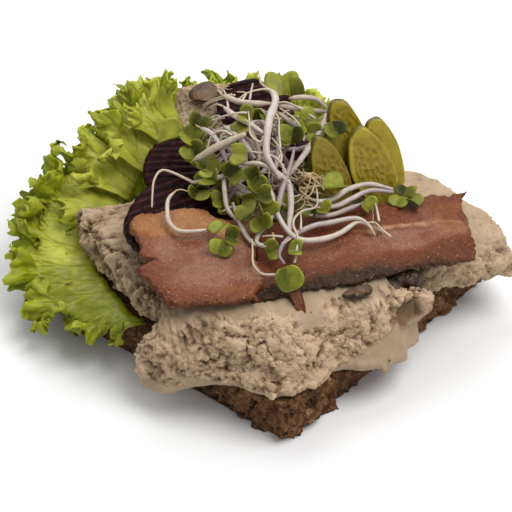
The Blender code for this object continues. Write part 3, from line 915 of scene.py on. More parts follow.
def seed_kernels(x, z, width, length, chance):
    """Where the seeds of a slice lie: 16 drops in a spiral, each pointing outwards."""
    kernels = np.zeros_like(x)
    for place in range(16):
        turn = place * 2.4 + chance.uniform(-0.4, 0.4)
        far = 0.66 * math.sqrt((place + 0.9) / 16)
        px, pz = far * math.cos(turn) * width / 2, far * math.sin(turn) * length / 2
        facing = math.atan2(pz, px) + chance.gauss(0, 0.3)
        dx, dz = x - px, z - pz
        lengthwise = dx * math.cos(facing) + dz * math.sin(facing)
        sideways = -dx * math.sin(facing) + dz * math.cos(facing)
        spread = np.hypot(lengthwise / chance.uniform(1.0, 1.4), sideways / chance.uniform(0.6, 0.8))
        kernels = np.maximum(kernels, 1 - step(spread, 0.3, 1.0))
    return kernels


def gherkin_slice(foot, tilt, length, width, seedy, dark, thickness, seed):
    """An upright slice cut on the slant, with its skin round the rim."""
    angle = spokes_from(0, 84)
    wobble = 1 + 0.02 * np.sin(3 * angle + seed) + 0.012 * np.sin(7 * angle + seed)
    u, v, out, side, faces = disc(wobble, angle, 26, 0.85)
    x, z = u * width / 2 * (1 - 0.10 * v), v * length / 2
    rounded = round_rim(out, 0.90, 0.10)
    rough = swells(np.column_stack([x, z, side]), 2.2, 3, seed)
    core = (1 - step(out + 0.06 * rough, 0.72, 0.86)) * (1.0 if seedy else 0.2)
    pulp = (lumps(np.column_stack([x, z * 0.85, seed + 0 * x]), 1.5, seed) - 0.4) * core
    kernels = seed_kernels(x, z, width, length, random.Random(seed)) if seedy else 0.0
    relief = 0.12 * rough - 0.30 * pulp + 0.14 * kernels - 0.10 * core + 0.16 * step(out, 0.86, 0.93)
    y = -(side * (thickness / MM / 2 * rounded + relief * (rounded > 0.5)))
    y += 0.5 * np.sin(z / length * 3 + seed) * 0.6
    back, sideways, turn = tilt
    # Painted shade: a dark slice takes the core colour all over.
    core = dark + (1 - dark) * core * (0.4 + 0.7 * np.clip(pulp, 0, 1))
    return Pile().add(
        laid(x, y, z + length / 2, foot, turn, sideways, -back), faces, core=np.clip(core, 0, 1),
        seed=0.3 * kernels, skin=step(out + 0.02 * rough, 0.93, 0.985),
    )


class SANDWICH_OT_gherkins(Operator):
    """Makes the fan of gherkin slices, with their skin, seed pockets and seeds"""

    bl_idname = "sandwich.gherkins"
    bl_label = "Gherkins"

    def execute(self, context):
        settings = context.scene.sandwich_gherkins
        material = gherkin_material(settings)
        for seed, (node, placed) in enumerate(GHERKINS.items()):
            pile = gherkin_slice(*placed, settings.thickness, seed + 3)
            serve(pile.mesh(node), node.replace("gherkin", "gherkin_slice"), material, "gherkin", node)
        return {"FINISHED"}


# ---------------------------------------------------------------- mushrooms


class MushroomSettings(PropertyGroup):
    flesh: colour_field("Flesh", "Colour of the fried flesh", 128, 92, 58)
    fried: colour_field("Fried", "Colour of the skin and the darkest parts", 48, 34, 22)


def mushroom_material(settings):
    nodes = Finish("fried mushroom", Specular_IOR_Level=0.3, Coat_Weight=0.12, Coat_Roughness=0.25)
    browned = nodes.mix(0.5, settings.flesh, settings.fried)
    patched = nodes.group("Mottle", browned, settings.flesh, 0.0025, 0.15)
    colour = nodes.mix(nodes.value("fried"), patched, settings.fried)
    grain, shine = nodes.noise(0.0006, 4.0), nodes.uneven(0.0015, 0.35, 0.65, 0.22, 0.5)
    return nodes.done(colour, grain, 0.0003, shine)


MUSHROOMS = {
    # solid: centre (along, back, up) and half sizes in mm, lean and turn in degrees, how dark, seed
    "mushroom_back": ((-7, 49, 36.0), (4.7, 3.3, 1.0), 34, 8, 0.4, 5),
    "mushroom_front": ((17.0, -41.8, 29.2), (4.3, 2.1, 1.0), 0, 8, 0.55, 6),
    "mushroom_right": ((28.6, -34.4, 24.6), (7.6, 4.4, 3.2), 6, -6, 0.9, 7),
}


def mushroom_piece(centre, half, lean, turn, dark, seed):
    """A fried slice, wrinkled by the pan: a cap, nicked on both sides of its stub of stem."""
    angle = spokes_from(0, 90)
    nick = 0.34 if dark > 0.4 else 0.08
    shape = 1 - nick * bump(np.abs(angle - 1.5 * math.pi), 0.62, 0.22)
    shape *= 1 + 0.05 * np.sin(3 * angle + seed)
    u, v, out, side, faces = disc(shape, angle, 26)
    wrinkles = swells(np.column_stack([u * half[0], v * half[1], side]), 1.8, 4, seed)
    w = side * np.sqrt(np.clip(1 - out**6, 0, 1)) * (0.75 + 0.5 * nick * wrinkles)
    w = w + 0.45 * out**2 * np.sin(2 * np.resize(angle, len(u)) + seed)
    fried = np.clip(dark + (0.2 + 0.5 * dark) * wrinkles + 0.5 * step(out, 0.8, 1.0), 0, 1)
    return Pile().add(laid(u * half[0], v * half[1], w * half[2], centre, turn, 0, lean), faces, fried=fried)


class SANDWICH_OT_mushrooms(Operator):
    """Makes the fried pieces of mushroom"""

    bl_idname = "sandwich.mushrooms"
    bl_label = "Mushrooms"

    def execute(self, context):
        material = mushroom_material(context.scene.sandwich_mushrooms)
        for node, placed in MUSHROOMS.items():
            mesh = mushroom_piece(*placed).mesh(node)
            serve(mesh, node.replace("mushroom", "mushroom_piece"), material, "fried_mushroom", node)
        return {"FINISHED"}


# ---------------------------------------------------------------- lettuce


class LettuceSettings(PropertyGroup):
    thickness: length_field("Thickness", "Thickness of the leaf", 0.32, 0.1)
    frill: FloatProperty(
        name="Frill", description="Height of the frills, as a share of the usual one", default=1.0, min=0.0
    )
    rim: colour_field("Rim", "Colour of the frilled rim", 150, 156, 36)
    # The deep green also serves as painted shade in the creases.
    deep: colour_field("Deep green", "Colour of the darker patches", 114, 122, 22)
    heart: colour_field("Heart", "Colour towards the heart and of the veins", 188, 192, 74)
    spot: colour_field("Spots", "Colour of the few brown spots", 112, 52, 26)


def lettuce_material(settings):
    nodes = Finish("lettuce", (0.45, 0.0012, (0.8, 1.0, 0.2)), Specular_IOR_Level=0.3)
    out, vein, spot = (nodes.value(name) for name in ("out", "vein", "spot"))
    green = nodes.mix(nodes.step(out, 0.15, 0.85), settings.heart, settings.rim)
    patched = nodes.group("Mottle", settings.deep, green, 0.009, 0.22)
    fresh = nodes.mix(0.55, patched, green)
    shaded = nodes.creviced(fresh, settings.deep, -1.3, 0.3)
    veined = nodes.mix(nodes.math("MULTIPLY", vein, 0.6), shaded, settings.heart)
    colour = nodes.mix(spot, veined, settings.spot)
    grain, shine = nodes.noise(0.0012, 4.0), nodes.uneven(0.004, 0.35, 0.65, 0.34, 0.5)
    return nodes.done(colour, grain, 0.0002, shine)


LEAVES = {
    # solid: sheets given by the paths (along, back, up) in mm of their heart, belly and rim, with
    # their columns and rows, how high their frills stand, how much the rim grows, where the frills start,
    # how pale they are (partly the paler inner leaves, partly painted light on the inner and back leaves),
    # and a seed
    "lettuce_left": [
        (
            [(-37, -25.5, 14.2), (-43, -14, 14.2), (-46, 0, 14.2), (-47, 14, 14.2), (-40, 24, 14.5),
             (-22, 34, 15.5)],
            [(-44, -28, 15), (-55, -16, 14), (-60, -2, 14), (-60, 15, 18), (-50, 30, 25), (-26, 40, 32)],
            [(-45, -25, 12), (-60, -16, 8), (-70.5, 3, 10.5), (-65, 24, 21), (-47, 42, 31), (-25, 50, 44)],
            (680, 36), 1.0, 3.0, 0.30, 0.0, 3,
        ),
        (
            [(-37, 14, 15), (-37, 20, 15.5), (-34, 26, 16), (-31, 30, 18)],
            [(-42, 12, 19), (-45, 22, 21), (-44, 31, 22), (-34, 35, 25)],
            [(-47, 10, 17), (-54, 20, 19), (-52, 33, 26), (-40, 37, 31)],
            (130, 22), 0.55, 1.6, 0.45, 0.6, 8,
        ),
        (
            [(-34, 25, 18), (-31, 30, 20), (-27, 33, 22)],
            [(-43, 26, 25), (-40, 35, 30), (-30, 36, 33)],
            [(-48, 25, 27), (-44, 39, 34), (-32, 42, 38)],
            (120, 20), 0.6, 2.2, 0.25, 0.7, 21,
        ),
        (
            [(-27, 30, 22), (-24, 35, 25), (-21, 39, 28)],
            [(-35, 31, 30), (-32, 39, 36), (-24, 40, 38)],
            [(-40, 31, 34), (-35, 45, 40), (-25, 46, 43)],
            (120, 20), 0.6, 2.2, 0.25, 0.7, 25,
        ),
        (
            [(-21, 36, 27), (-19, 40, 30), (-17, 44, 32)],
            [(-28, 35, 35), (-25, 42, 40), (-18, 42, 41)],
            [(-31, 36, 38), (-27, 47, 44), (-17, 45, 46)],
            (110, 18), 0.55, 2.2, 0.25, 0.7, 27,
        ),
        (
            [(-54, 8, 14), (-55, 14, 15), (-54, 20, 17)],
            [(-60, 7, 14), (-62, 15, 16), (-59, 22, 19)],
            [(-65.5, 5, 12.5), (-69.5, 14, 15), (-66, 24, 20)],
            (80, 14), 0.45, 1.8, 0.3, 0.1, 31,
        ),
    ],
    "lettuce_back": [
        (
            [(-18, 46, 14.5), (-7, 55, 14.5), (5, 61, 14.5), (14, 54, 14.5), (25, 40, 14.5)],
            [(-23, 52, 25), (-10, 62, 24), (5, 66, 24), (18, 59, 23), (29, 46, 22)],
            [(-23, 55, 33), (-12, 64, 31), (5, 66, 30), (20, 58, 30), (31, 48, 28)],
            (400, 28), 0.8, 2.6, 0.28, 0.8, 14,
        ),
    ],
}


def sheet_normals(points):
    """Which way each point of a sheet faces."""
    return unit(np.cross(np.gradient(points, axis=1), np.gradient(points, axis=0)))


def ruffle(points, flat, strength, pitch, height, curl, seed):
    """Throws a sheet of points into ruffles of about `pitch` mm along its rows, which curl over.

    `flat` is where each point lies on the flattened leaf, in mm, and `strength` how much of the
    ruffle's height it takes.
    """
    ahead = unit(np.gradient(points, axis=1))
    normal = unit(np.cross(ahead, unit(np.gradient(points, axis=0))))
    drift = 1.0 * swells(flat * (1, 0.4, 1), 3.0 * pitch, 2, seed)
    drift += 0.55 * swells(flat * (1, 1.3, 1), 1.3 * pitch, 2, seed + 1)
    turn = math.tau * (flat[..., 0] / pitch + drift)
    uneven = np.clip(0.8 + 0.8 * swells(flat, 1.4 * pitch, 2, seed + 2), 0.1, 1.7)
    reach = height * strength * uneven
    wave, fold = np.sin(turn) * reach, curl * np.sin(2 * turn) * reach
    return points + normal * wave[..., None] - ahead * fold[..., None]


def hold_apart(points, wanted, down, across, pull, spread_only=False):
    """Nudges each point and the one `down` rows and `across` columns on towards the wanted distance."""
    rows, columns = points.shape[0] - abs(down), points.shape[1] - across
    from_row, to_row = max(0, -down), max(0, down)
    first = points[from_row : from_row + rows, :columns]
    second = points[to_row : to_row + rows, across:]
    apart = second - first
    length = np.maximum(np.linalg.norm(apart, axis=-1), 1e-6)
    change = pull * (1 - wanted[:rows, :columns] / length)
    if spread_only:
        change = np.minimum(change, 0)
    nudge = apart * change[..., None]
    first += nudge
    second -= nudge


def leaf_plan(lines, rows, columns):
    """The smooth surface between a leaf's heart, belly and rim, and each point's share of the way out."""
    out = (np.linspace(0, 1, rows) ** 0.75)[:, None, None]
    heart, belly, rim = (smooth_path(line, columns)[None] for line in lines)
    plan = (1 - out) ** 2 * heart + 2 * out * (1 - out) * belly + out**2 * rim
    return plan, np.broadcast_to(out[..., 0], (rows, columns))


def finer(grid, rows, columns):
    """A grid of points spread over more rows and columns."""
    for count in (columns, rows):
        given, wanted = np.linspace(0, 1, grid.shape[1]), np.linspace(0, 1, count)
        lines = [[np.interp(wanted, given, line) for line in layer] for layer in grid.transpose(2, 0, 1)]
        grid = np.array(lines).transpose(2, 1, 0)
    return grid


def grow(points, plan, far, growth, hold, rounds):
    """Lets a leaf buckle into frills, because its rows grow longer towards the rim than their place.

    `growth` is how many times its place's length each point's row wants, and `hold` ties points to
    their place on the smooth leaf.
    """
    run = np.linalg.norm(np.diff(plan, axis=1, append=plan[:, -1:]), axis=-1)
    rise = np.linalg.norm(np.diff(plan, axis=0, append=plan[-1:]), axis=-1)
    run[:, -1], rise[-1] = run[:, -2], rise[-2]
    run = run * growth
    slant = np.hypot(run, rise)
    tie = (hold * (1.8 - 1.77 * step(far, 0.2, 0.75)) + 0.6 * (far < 0.02))[..., None]
    pulls = [(run, 0, 1, 0.25), (rise, 1, 0, 0.25)] * 2 + [(slant, 1, 1, 0.08), (slant, -1, 1, 0.08)]
    pulls += [(1.75 * run, 0, 2, 0.12, True), (3.0 * run, 0, 4, 0.06, True), (1.85 * rise, 2, 0, 0.12, True)]
    before = points.copy()
    for _ in range(rounds):
        before, points = points, points + 0.8 * (points - before)
        for pull in pulls:
            hold_apart(points, *pull)
        points += tie * (plan - points)
    return points


LEAF_FLOOR = 13.7  # mm, just over the bread
SOFT_REACH = 4.0  # mm, over which the frills near the heart are evened

FRILL_STEPS = (
    # share of the columns, rounds of growing, how firmly it holds its place, and the ruffles thrown
    # first: from how far out, their pitch and height in mm, and their curl
    (0.16, 130, 0.035, ((0.10, 23.0, 4.6, 0.2), (0.26, 11.0, 6.0, 0.5))),
    (0.42, 90, 0.03, ((0.36, 5.4, 4.0, 0.5),)),
    (1.0, 26, 0.02, ((0.55, 2.9, 1.7, 0.5),)),
)


def evened(grid, span):
    """A grid of points averaged along its rows over `span` columns to either side, three times."""
    for _ in range(3):
        ends = (np.repeat(grid[:, :1], span, 1), grid, np.repeat(grid[:, -1:], span, 1))
        total = np.cumsum(np.concatenate(ends, 1), axis=1)
        grid = (total[:, 2 * span :] - total[:, : -2 * span]) / (2 * span)
    return grid


def leaf_sheet(heart, belly, rim, size, frill, swell, start_at, pale, seed):
    """The middle surface of a curly leaf, and its values, in rows from the heart to the rim.

    `swell` is how much longer than its place the rim grows, and `start_at` the share of the way out
    where it begins to frill.
    """
    columns, rows = size
    shift = None
    for share, rounds, hold, ruffles in FRILL_STEPS:
        coarse_rows = max(14, int(rows * min(1, share + 0.25)))
        plan, far = leaf_plan((heart, belly, rim), coarse_rows, int(columns * share))
        length = np.linalg.norm(np.diff(plan[-1], axis=0), axis=1).sum()
        width = np.linalg.norm(plan[-1] - plan[0], axis=1).mean()
        run = np.broadcast_to(np.linspace(0, length, far.shape[1]), far.shape)
        flat = np.stack([run, far * width, np.zeros_like(run)], axis=-1)
        shift = np.zeros_like(plan) if shift is None else finer(shift, *far.shape)
        strength = frill * (0.4 + 0.6 * step(run / length, 0.02, 0.2))
        points = plan + shift
        for start, pitch, height, curl in ruffles:
            rising = strength * step(far, start + start_at - 0.28, 1.0)
            points = ruffle(points, flat, rising, pitch, height, curl, seed + int(pitch))
        growth = 1 + strength * swell * step(far, start_at, 1.05) ** 1.4
        points = grow(points, plan, far, growth, hold, rounds)
        shift = points - plan
    # towards the heart and the leaf's low end the frills die out into soft bulges
    low_end = 1 - step(run / length, 0.3, 0.5)
    late = 0.22 * low_end
    calm = (1 - step(far, 0.34 + late, 0.7 + late))[..., None]
    shift = shift + calm * (evened(shift, max(2, int(columns * SOFT_REACH / length))) - shift)
    points = plan + shift
    # the rim runs out in uneven lobes with small pointed teeth
    line = flat[-1] * (2.6, 1, 1)
    lobes = 2.0 * swells(line, 9, 2, seed + 9) + 1.0 * swells(line, 4, 2, seed + 10)
    teeth = 2.2 * (1 - 2.6 * np.abs(swells(line, 4.2, 2, seed + 11)))
    across = unit(np.gradient(points, axis=0))
    points = points + across * (step(far, 0.8, 1.0) * (lobes + teeth)[None])[..., None]
    ribs = leaf_ribs(far, run, length, random.Random(seed))
    normal = sheet_normals(points)
    relief = 0.5 * lumps(points, 4.2, seed + 5) + 0.35 * swells(points, 2.4, 3, seed + 6) - 0.7 * ribs
    bulges = 1.9 * swells(points, 8, 2, seed + 7)
    points = points + normal * ((0.9 * relief + bulges) * (1 - 0.8 * far))[..., None]
    # Painted shade: the relief that colours the leaf rises where the frills stand out, falls where they sink,
    # and falls at the leaf's low end.
    raised = (shift * sheet_normals(plan)).sum(-1)
    relief = relief + 0.45 * np.clip(raised, -2, 2) - (1 - pale) * low_end
    # Painted shade: the low end also takes the deeper rim green; pale leaves keep the heart colour.
    out = np.maximum(far, 0.9 * low_end) * (1 - pale)
    return points, normal, {"out": out, "vein": ribs, "relief": relief}


def leaf_ribs(far, run, length, chance):
    """How much of a rib or side vein each point of a leaf carries; they fan out from the heart."""
    ribs = np.zeros_like(far)
    for place in np.arange(5, length, 10.5):
        side = chance.choice((-1, 1))
        for start, lean, thin in ((0.0, 0.0, 0.5), (0.2, 12, 0.28), (0.38, -13, 0.26), (0.56, 10, 0.2)):
            centre = place + side * lean * (far - start) + 1.4 * np.sin(4 * far + place)
            rib = bump(run, centre, thin * (1.3 - far)) * step(far, start, start + 0.05)
            ribs = np.maximum(ribs, rib * (1 - step(far, 0.7, 0.95)))
    return ribs


def past_bread(points):
    """True where points of the toppings' frame lie outside the bread's outline."""
    low, high = (np.array(corner)[:2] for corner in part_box("bread"))
    spots = on_bread(points)[:, :2]
    outside = np.any((spots < low + MM) | (spots > high - MM), axis=1)
    return outside.reshape(points.shape[:-1])


def leaf_pile(sheets, thickness, frill, spots):
    """Gives each sheet of a leaf its thickness, closed round its four edges."""
    pile = Pile()
    for heart, belly, rim, size, height, *more in sheets:
        points, normal, values = leaf_sheet(heart, belly, rim, size, height * frill, *more)
        points[..., 2] = np.maximum(points[..., 2], LEAF_FLOOR + np.where(past_bread(points), -100, 0))
        half = thickness / MM / 2 * (1.25 - 0.5 * values["out"])[..., None]
        values["spot"] = np.zeros_like(values["out"])
        for spot in spots:
            apart = np.linalg.norm(points - spot, axis=-1)
            values["spot"] = np.maximum(values["spot"], 1 - step(apart, 0.7, 1.5))
        top = grid_faces(*points.shape[:2])
        count = values["out"].size
        index = np.arange(count).reshape(points.shape[:2])
        closing = []
        for edge, back in ((index[0], True), (index[-1], False), (index[:, 0], False), (index[:, -1], True)):
            one, other = (edge[1:], edge[:-1]) if back else (edge[:-1], edge[1:])
            closing.append(np.stack([one, other, other + count, one + count], axis=-1))
        pile.add(
            on_bread([points + normal * half, points - normal * half]),
            np.concatenate([top, top[:, ::-1] + count, *closing]),
            **{name: np.tile(value.ravel(), 2) for name, value in values.items()},
        )
    return pile


LEAF_SPOTS = [(-29, 34, 44), (-36, 24, 33), (-35, 22, 35)]  # mm, the brown spots on the leaves


class SANDWICH_OT_lettuce(Operator):
    """Makes the curly lettuce leaves, with their ribs, blisters and frilled rims"""

    bl_idname = "sandwich.lettuce"
    bl_label = "Lettuce"

    def execute(self, context):
        settings = context.scene.sandwich_lettuce
        material = lettuce_material(settings)
        for node, sheets in LEAVES.items():
            pile = leaf_pile(sheets, settings.thickness, settings.frill, LEAF_SPOTS)
            serve(pile.mesh(node), node.replace("lettuce", "curly_leaf"), material, "lettuce", node)
        return {"FINISHED"}


# ---------------------------------------------------------------- sprouts


class SproutSettings(PropertyGroup):
    count: IntProperty(name="Sprouts", description="How many loose sprouts fill the heap", default=44, min=0)
    hairs: IntProperty(name="Hair roots", description="How many thin roots wander over it", default=24, min=0)
    stem: length_field("Stem", "Radius of a stem", 0.72, 0.2)
    leaf: length_field("Seed leaf", "Length of a seed leaf", 5.1, 1)
    stem_colour: colour_field("Stems", "Colour of the stems", 202, 192, 177)
    lilac: colour_field("Lilac", "Colour of the stems towards the leaves", 136, 119, 134)
    root_colour: colour_field("Roots", "Colour of the roots", 168, 140, 98)
    leaf_colour: colour_field("Seed leaves", "Colour of the seed leaves", 106, 113, 28)
    leaf_dark: colour_field("Dark seed leaves", "Colour of the darkest seed leaves", 50, 52, 14)


def stem_material(settings):
    nodes = Finish("sprout stems", (0.3, 0.0012, (1.0, 0.9, 0.9)), Specular_IOR_Level=0.45)
    root, lilac = nodes.value("root"), nodes.value("lilac")
    stem = nodes.mix(lilac, settings.stem_colour, settings.lilac)
    streaked = nodes.group("Mottle", nodes.mix(0.2, stem, settings.lilac), stem, 0.002, 0.15)
    colour = nodes.mix(root, streaked, settings.root_colour)
    grain, shine = nodes.noise(0.0007, 3.0), nodes.step(root, 0.0, 1.0, 0.35, 0.6)
    return nodes.done(colour, grain, 0.00012, shine)


def leaf_material(settings):
    nodes = Finish("sprout leaves", (0.25, 0.001, (0.8, 1.0, 0.2)), Specular_IOR_Level=0.18)
    pale = nodes.mix(0.5, settings.leaf_colour, paint(176, 178, 72))
    shade = nodes.mix(nodes.value("shade"), pale, settings.leaf_dark)
    patched = nodes.group("Mottle", nodes.mix(0.45, shade, settings.leaf_dark), shade, 0.002, 0.25)
    veined = nodes.mix(0.45, patched, settings.leaf_dark)
    colour = nodes.mix(nodes.math("MULTIPLY", nodes.value("vein"), 0.6), patched, veined)
    grain, shine = nodes.noise(0.0008, 3.0), nodes.uneven(0.002, 0.35, 0.65, 0.3, 0.5)
    return nodes.done(colour, grain, 0.00012, shine)


def tube(pile, path, radii, spokes, **values):
    """Adds a round stem along a path in mm; its radii and values run from one end to the other."""
    points = np.asarray(path, float)
    rings = len(points)
    ahead = unit(np.gradient(points, axis=0))
    side = unit(np.cross(ahead[0], (0.31, 0.17, 0.93)))
    angle = spokes_from(0, spokes)[:, None]
    rims = []
    for point, direction, radius in zip(points, ahead, radii):
        side = unit(side - direction * np.dot(side, direction))
        rims.append(point + radius * (np.cos(angle) * side + np.sin(angle) * np.cross(direction, side)))
    first, last = points[:1] - ahead[:1] * radii[0] * 0.5, points[-1:] + ahead[-1:] * radii[-1] * 0.5
    faces = (grid_faces(rings, spokes, closed=True) + 1).tolist()
    tip = rings * spokes + 1
    faces += [[0, 1 + (k + 1) % spokes, 1 + k] for k in range(spokes)]
    faces += [[tip, tip - spokes + k, tip - spokes + (k + 1) % spokes] for k in range(spokes)]
    ring = np.concatenate([[0], np.arange(rings).repeat(spokes), [rings - 1]])
    spread = {name: np.broadcast_to(value, rings)[ring] for name, value in values.items()}
    pile.add(on_bread(np.concatenate([first, *rims, last])), faces, **spread)


def squared(heading, facing):
    """Three unit vectors: the heading turned square to the facing, the way aside, and the facing."""
    facing = unit(np.asarray(facing, float))
    heading = unit(np.asarray(heading, float) - facing * np.dot(heading, facing))
    return np.array([heading, np.cross(facing, heading), facing])


def scatter(chance, *widths):
    """A random offset, spread so wide along each axis."""
    return np.array([chance.gauss(0, width) for width in widths])


def seed_leaf(pile, foot, heading, facing, length, fold, shade, chance, notch=0.4):
    """Adds one seed leaf: a broad heart, notched at its tip and folded along its midrib.

    It starts at `foot`, runs along `heading` and shows its upper side towards `facing`.
    """
    angle = spokes_from(-math.pi, 28)
    rim = 1 - notch * bump(angle, 0, 0.45) + 0.35 * notch * bump(np.abs(angle), 0.8, 0.45)
    rim *= 1 - 0.16 * bump(np.abs(angle), math.pi, 0.5)
    rim *= length / 2 * (1 + 0.03 * np.sin(4 * angle + chance.uniform(0, 6)))
    rim *= 1 + chance.uniform(-0.12, 0.12) * np.sin(angle)
    x, y, out, side, faces = disc(rim, angle, 7, 0.8)
    y = y * (1 + 0.55 * notch)
    reach = np.hypot(x, y) / (length / 2)
    sag, twist = chance.uniform(-0.6, 1.3), chance.uniform(-0.25, 0.25)
    middle = fold * np.abs(y) ** 1.15 - sag * length * 0.25 * (x / length + 0.5) ** 2 + twist * x * y / length
    middle += 0.06 * length * np.sin(3.2 * np.abs(y) / length + chance.uniform(0, 6)) * reach**2
    rounded = np.sqrt(np.clip(1 - out**8, 0, 1))
    z = middle + side * rounded * 0.2 - 0.12 * bump(y, 0, 0.35) * side
    vein = bump(y, 0, 0.2 + 0.02 * (x + length / 2))
    # Painted highlight: the leaf is paler towards its rim.
    mark = shade + 0.3 * np.sign(y) * chance.uniform(-1, 1) - 0.2 * (side < 0) - 0.3 * step(reach, 0.75, 1.1)
    mark += chance.uniform(-0.12, 0.36)
    points = np.column_stack([x + length * 0.5, y, z]) @ squared(heading, facing) + foot
    pile.add(on_bread(points), faces, vein=vein, shade=np.clip(mark, 0, 1))


def leaf_pair(leaves, stems, foot, heading, facing, length, opening, fold, shade, chance):
    """Adds two seed leaves that open from one foot to either side of `heading`, on short stalks."""
    heading, aside, facing = squared(heading, facing)
    for turn in (-1, 1):
        way = heading * math.cos(opening) + aside * turn * math.sin(opening)
        tilt = facing - 0.5 * turn * aside * chance.uniform(-0.5, 1.0)
        tilt = unit(tilt + 0.3 * chance.uniform(-1, 1) * heading)
        stalk = smooth_path([foot, foot + way * 0.5 - facing * 0.1, foot + way * 1.1], 5)
        tube(stems, stalk, np.linspace(0.45, 0.3, 5), 7, root=0, lilac=0.6)
        size, bent = length * chance.uniform(0.8, 1.1), fold * chance.uniform(0.6, 1.5)
        seed_leaf(leaves, stalk[-1] - way * 0.2, way, tilt, size, bent, shade, chance)


def sprout_stem(stems, path, thick, lilac, chance, root=0.0):
    """Adds a stem from its root end to its leaf end; `root` mm of thin root trail from its start."""
    line = smooth_path(path, max(14, int(len(path) * 8)))
    share = np.linspace(0, 1, len(line))
    phase = chance.uniform(0, 6)
    uneven = 0.06 * np.sin(9 * share + phase) + 0.035 * np.sin(31 * share + 2 * phase)
    radii = thick * (0.85 + 0.22 * np.sin(math.pi * share) + uneven)
    radii *= 0.45 + 0.55 * step(share, 0.0, 0.14)
    radii *= 1 - 0.35 * step(share, 0.8, 1.0)
    purple = np.clip(lilac * (0.35 + 0.8 * step(share, 0.3, 1.0)), 0, 1)
    creamy = 0.34 * chance.random() + 0.7 * (1 - step(share, 0.0, 0.12)) + 0.22 * (lilac == 0)
    tube(stems, line, radii, 9, root=creamy, lilac=purple)
    if root:
        trail_root(stems, line[0], unit(line[0] - line[3]), root, thick * 0.4, chance)


def trail_root(stems, start, heading, length, thick, chance, twigs=3, brown=0.6):
    """Adds a thin wandering root, with side roots, that starts at a point and droops."""
    spots = [start]
    count = max(4, int(length / 1.8))
    for _ in range(count):
        heading = unit(heading + [chance.gauss(0, 0.45), chance.gauss(0, 0.45), chance.gauss(-0.05, 0.25)])
        spots.append(spots[-1] + heading * 1.8)
    line = smooth_path(spots, count * 4)
    share = np.linspace(0, 1, len(line))
    tube(stems, line, thick * (1 - 0.7 * share), 6, root=brown - 0.2 * share, lilac=0)
    for _ in range(twigs if length > 6 else 0):
        at = chance.randrange(len(line) // 4, len(line) - 2)
        way = unit(scatter(chance, 1, 1, 0.6))
        trail_root(stems, line[at], way, chance.uniform(2, 5), thick * 0.5, chance, 0)


TOWARDS_SKY = (-0.1, -0.35, 0.85)
PLACED_STEM, PLACED_LEAF = 0.85, 5.6  # mm, the settings that the placed stems and leaves suit

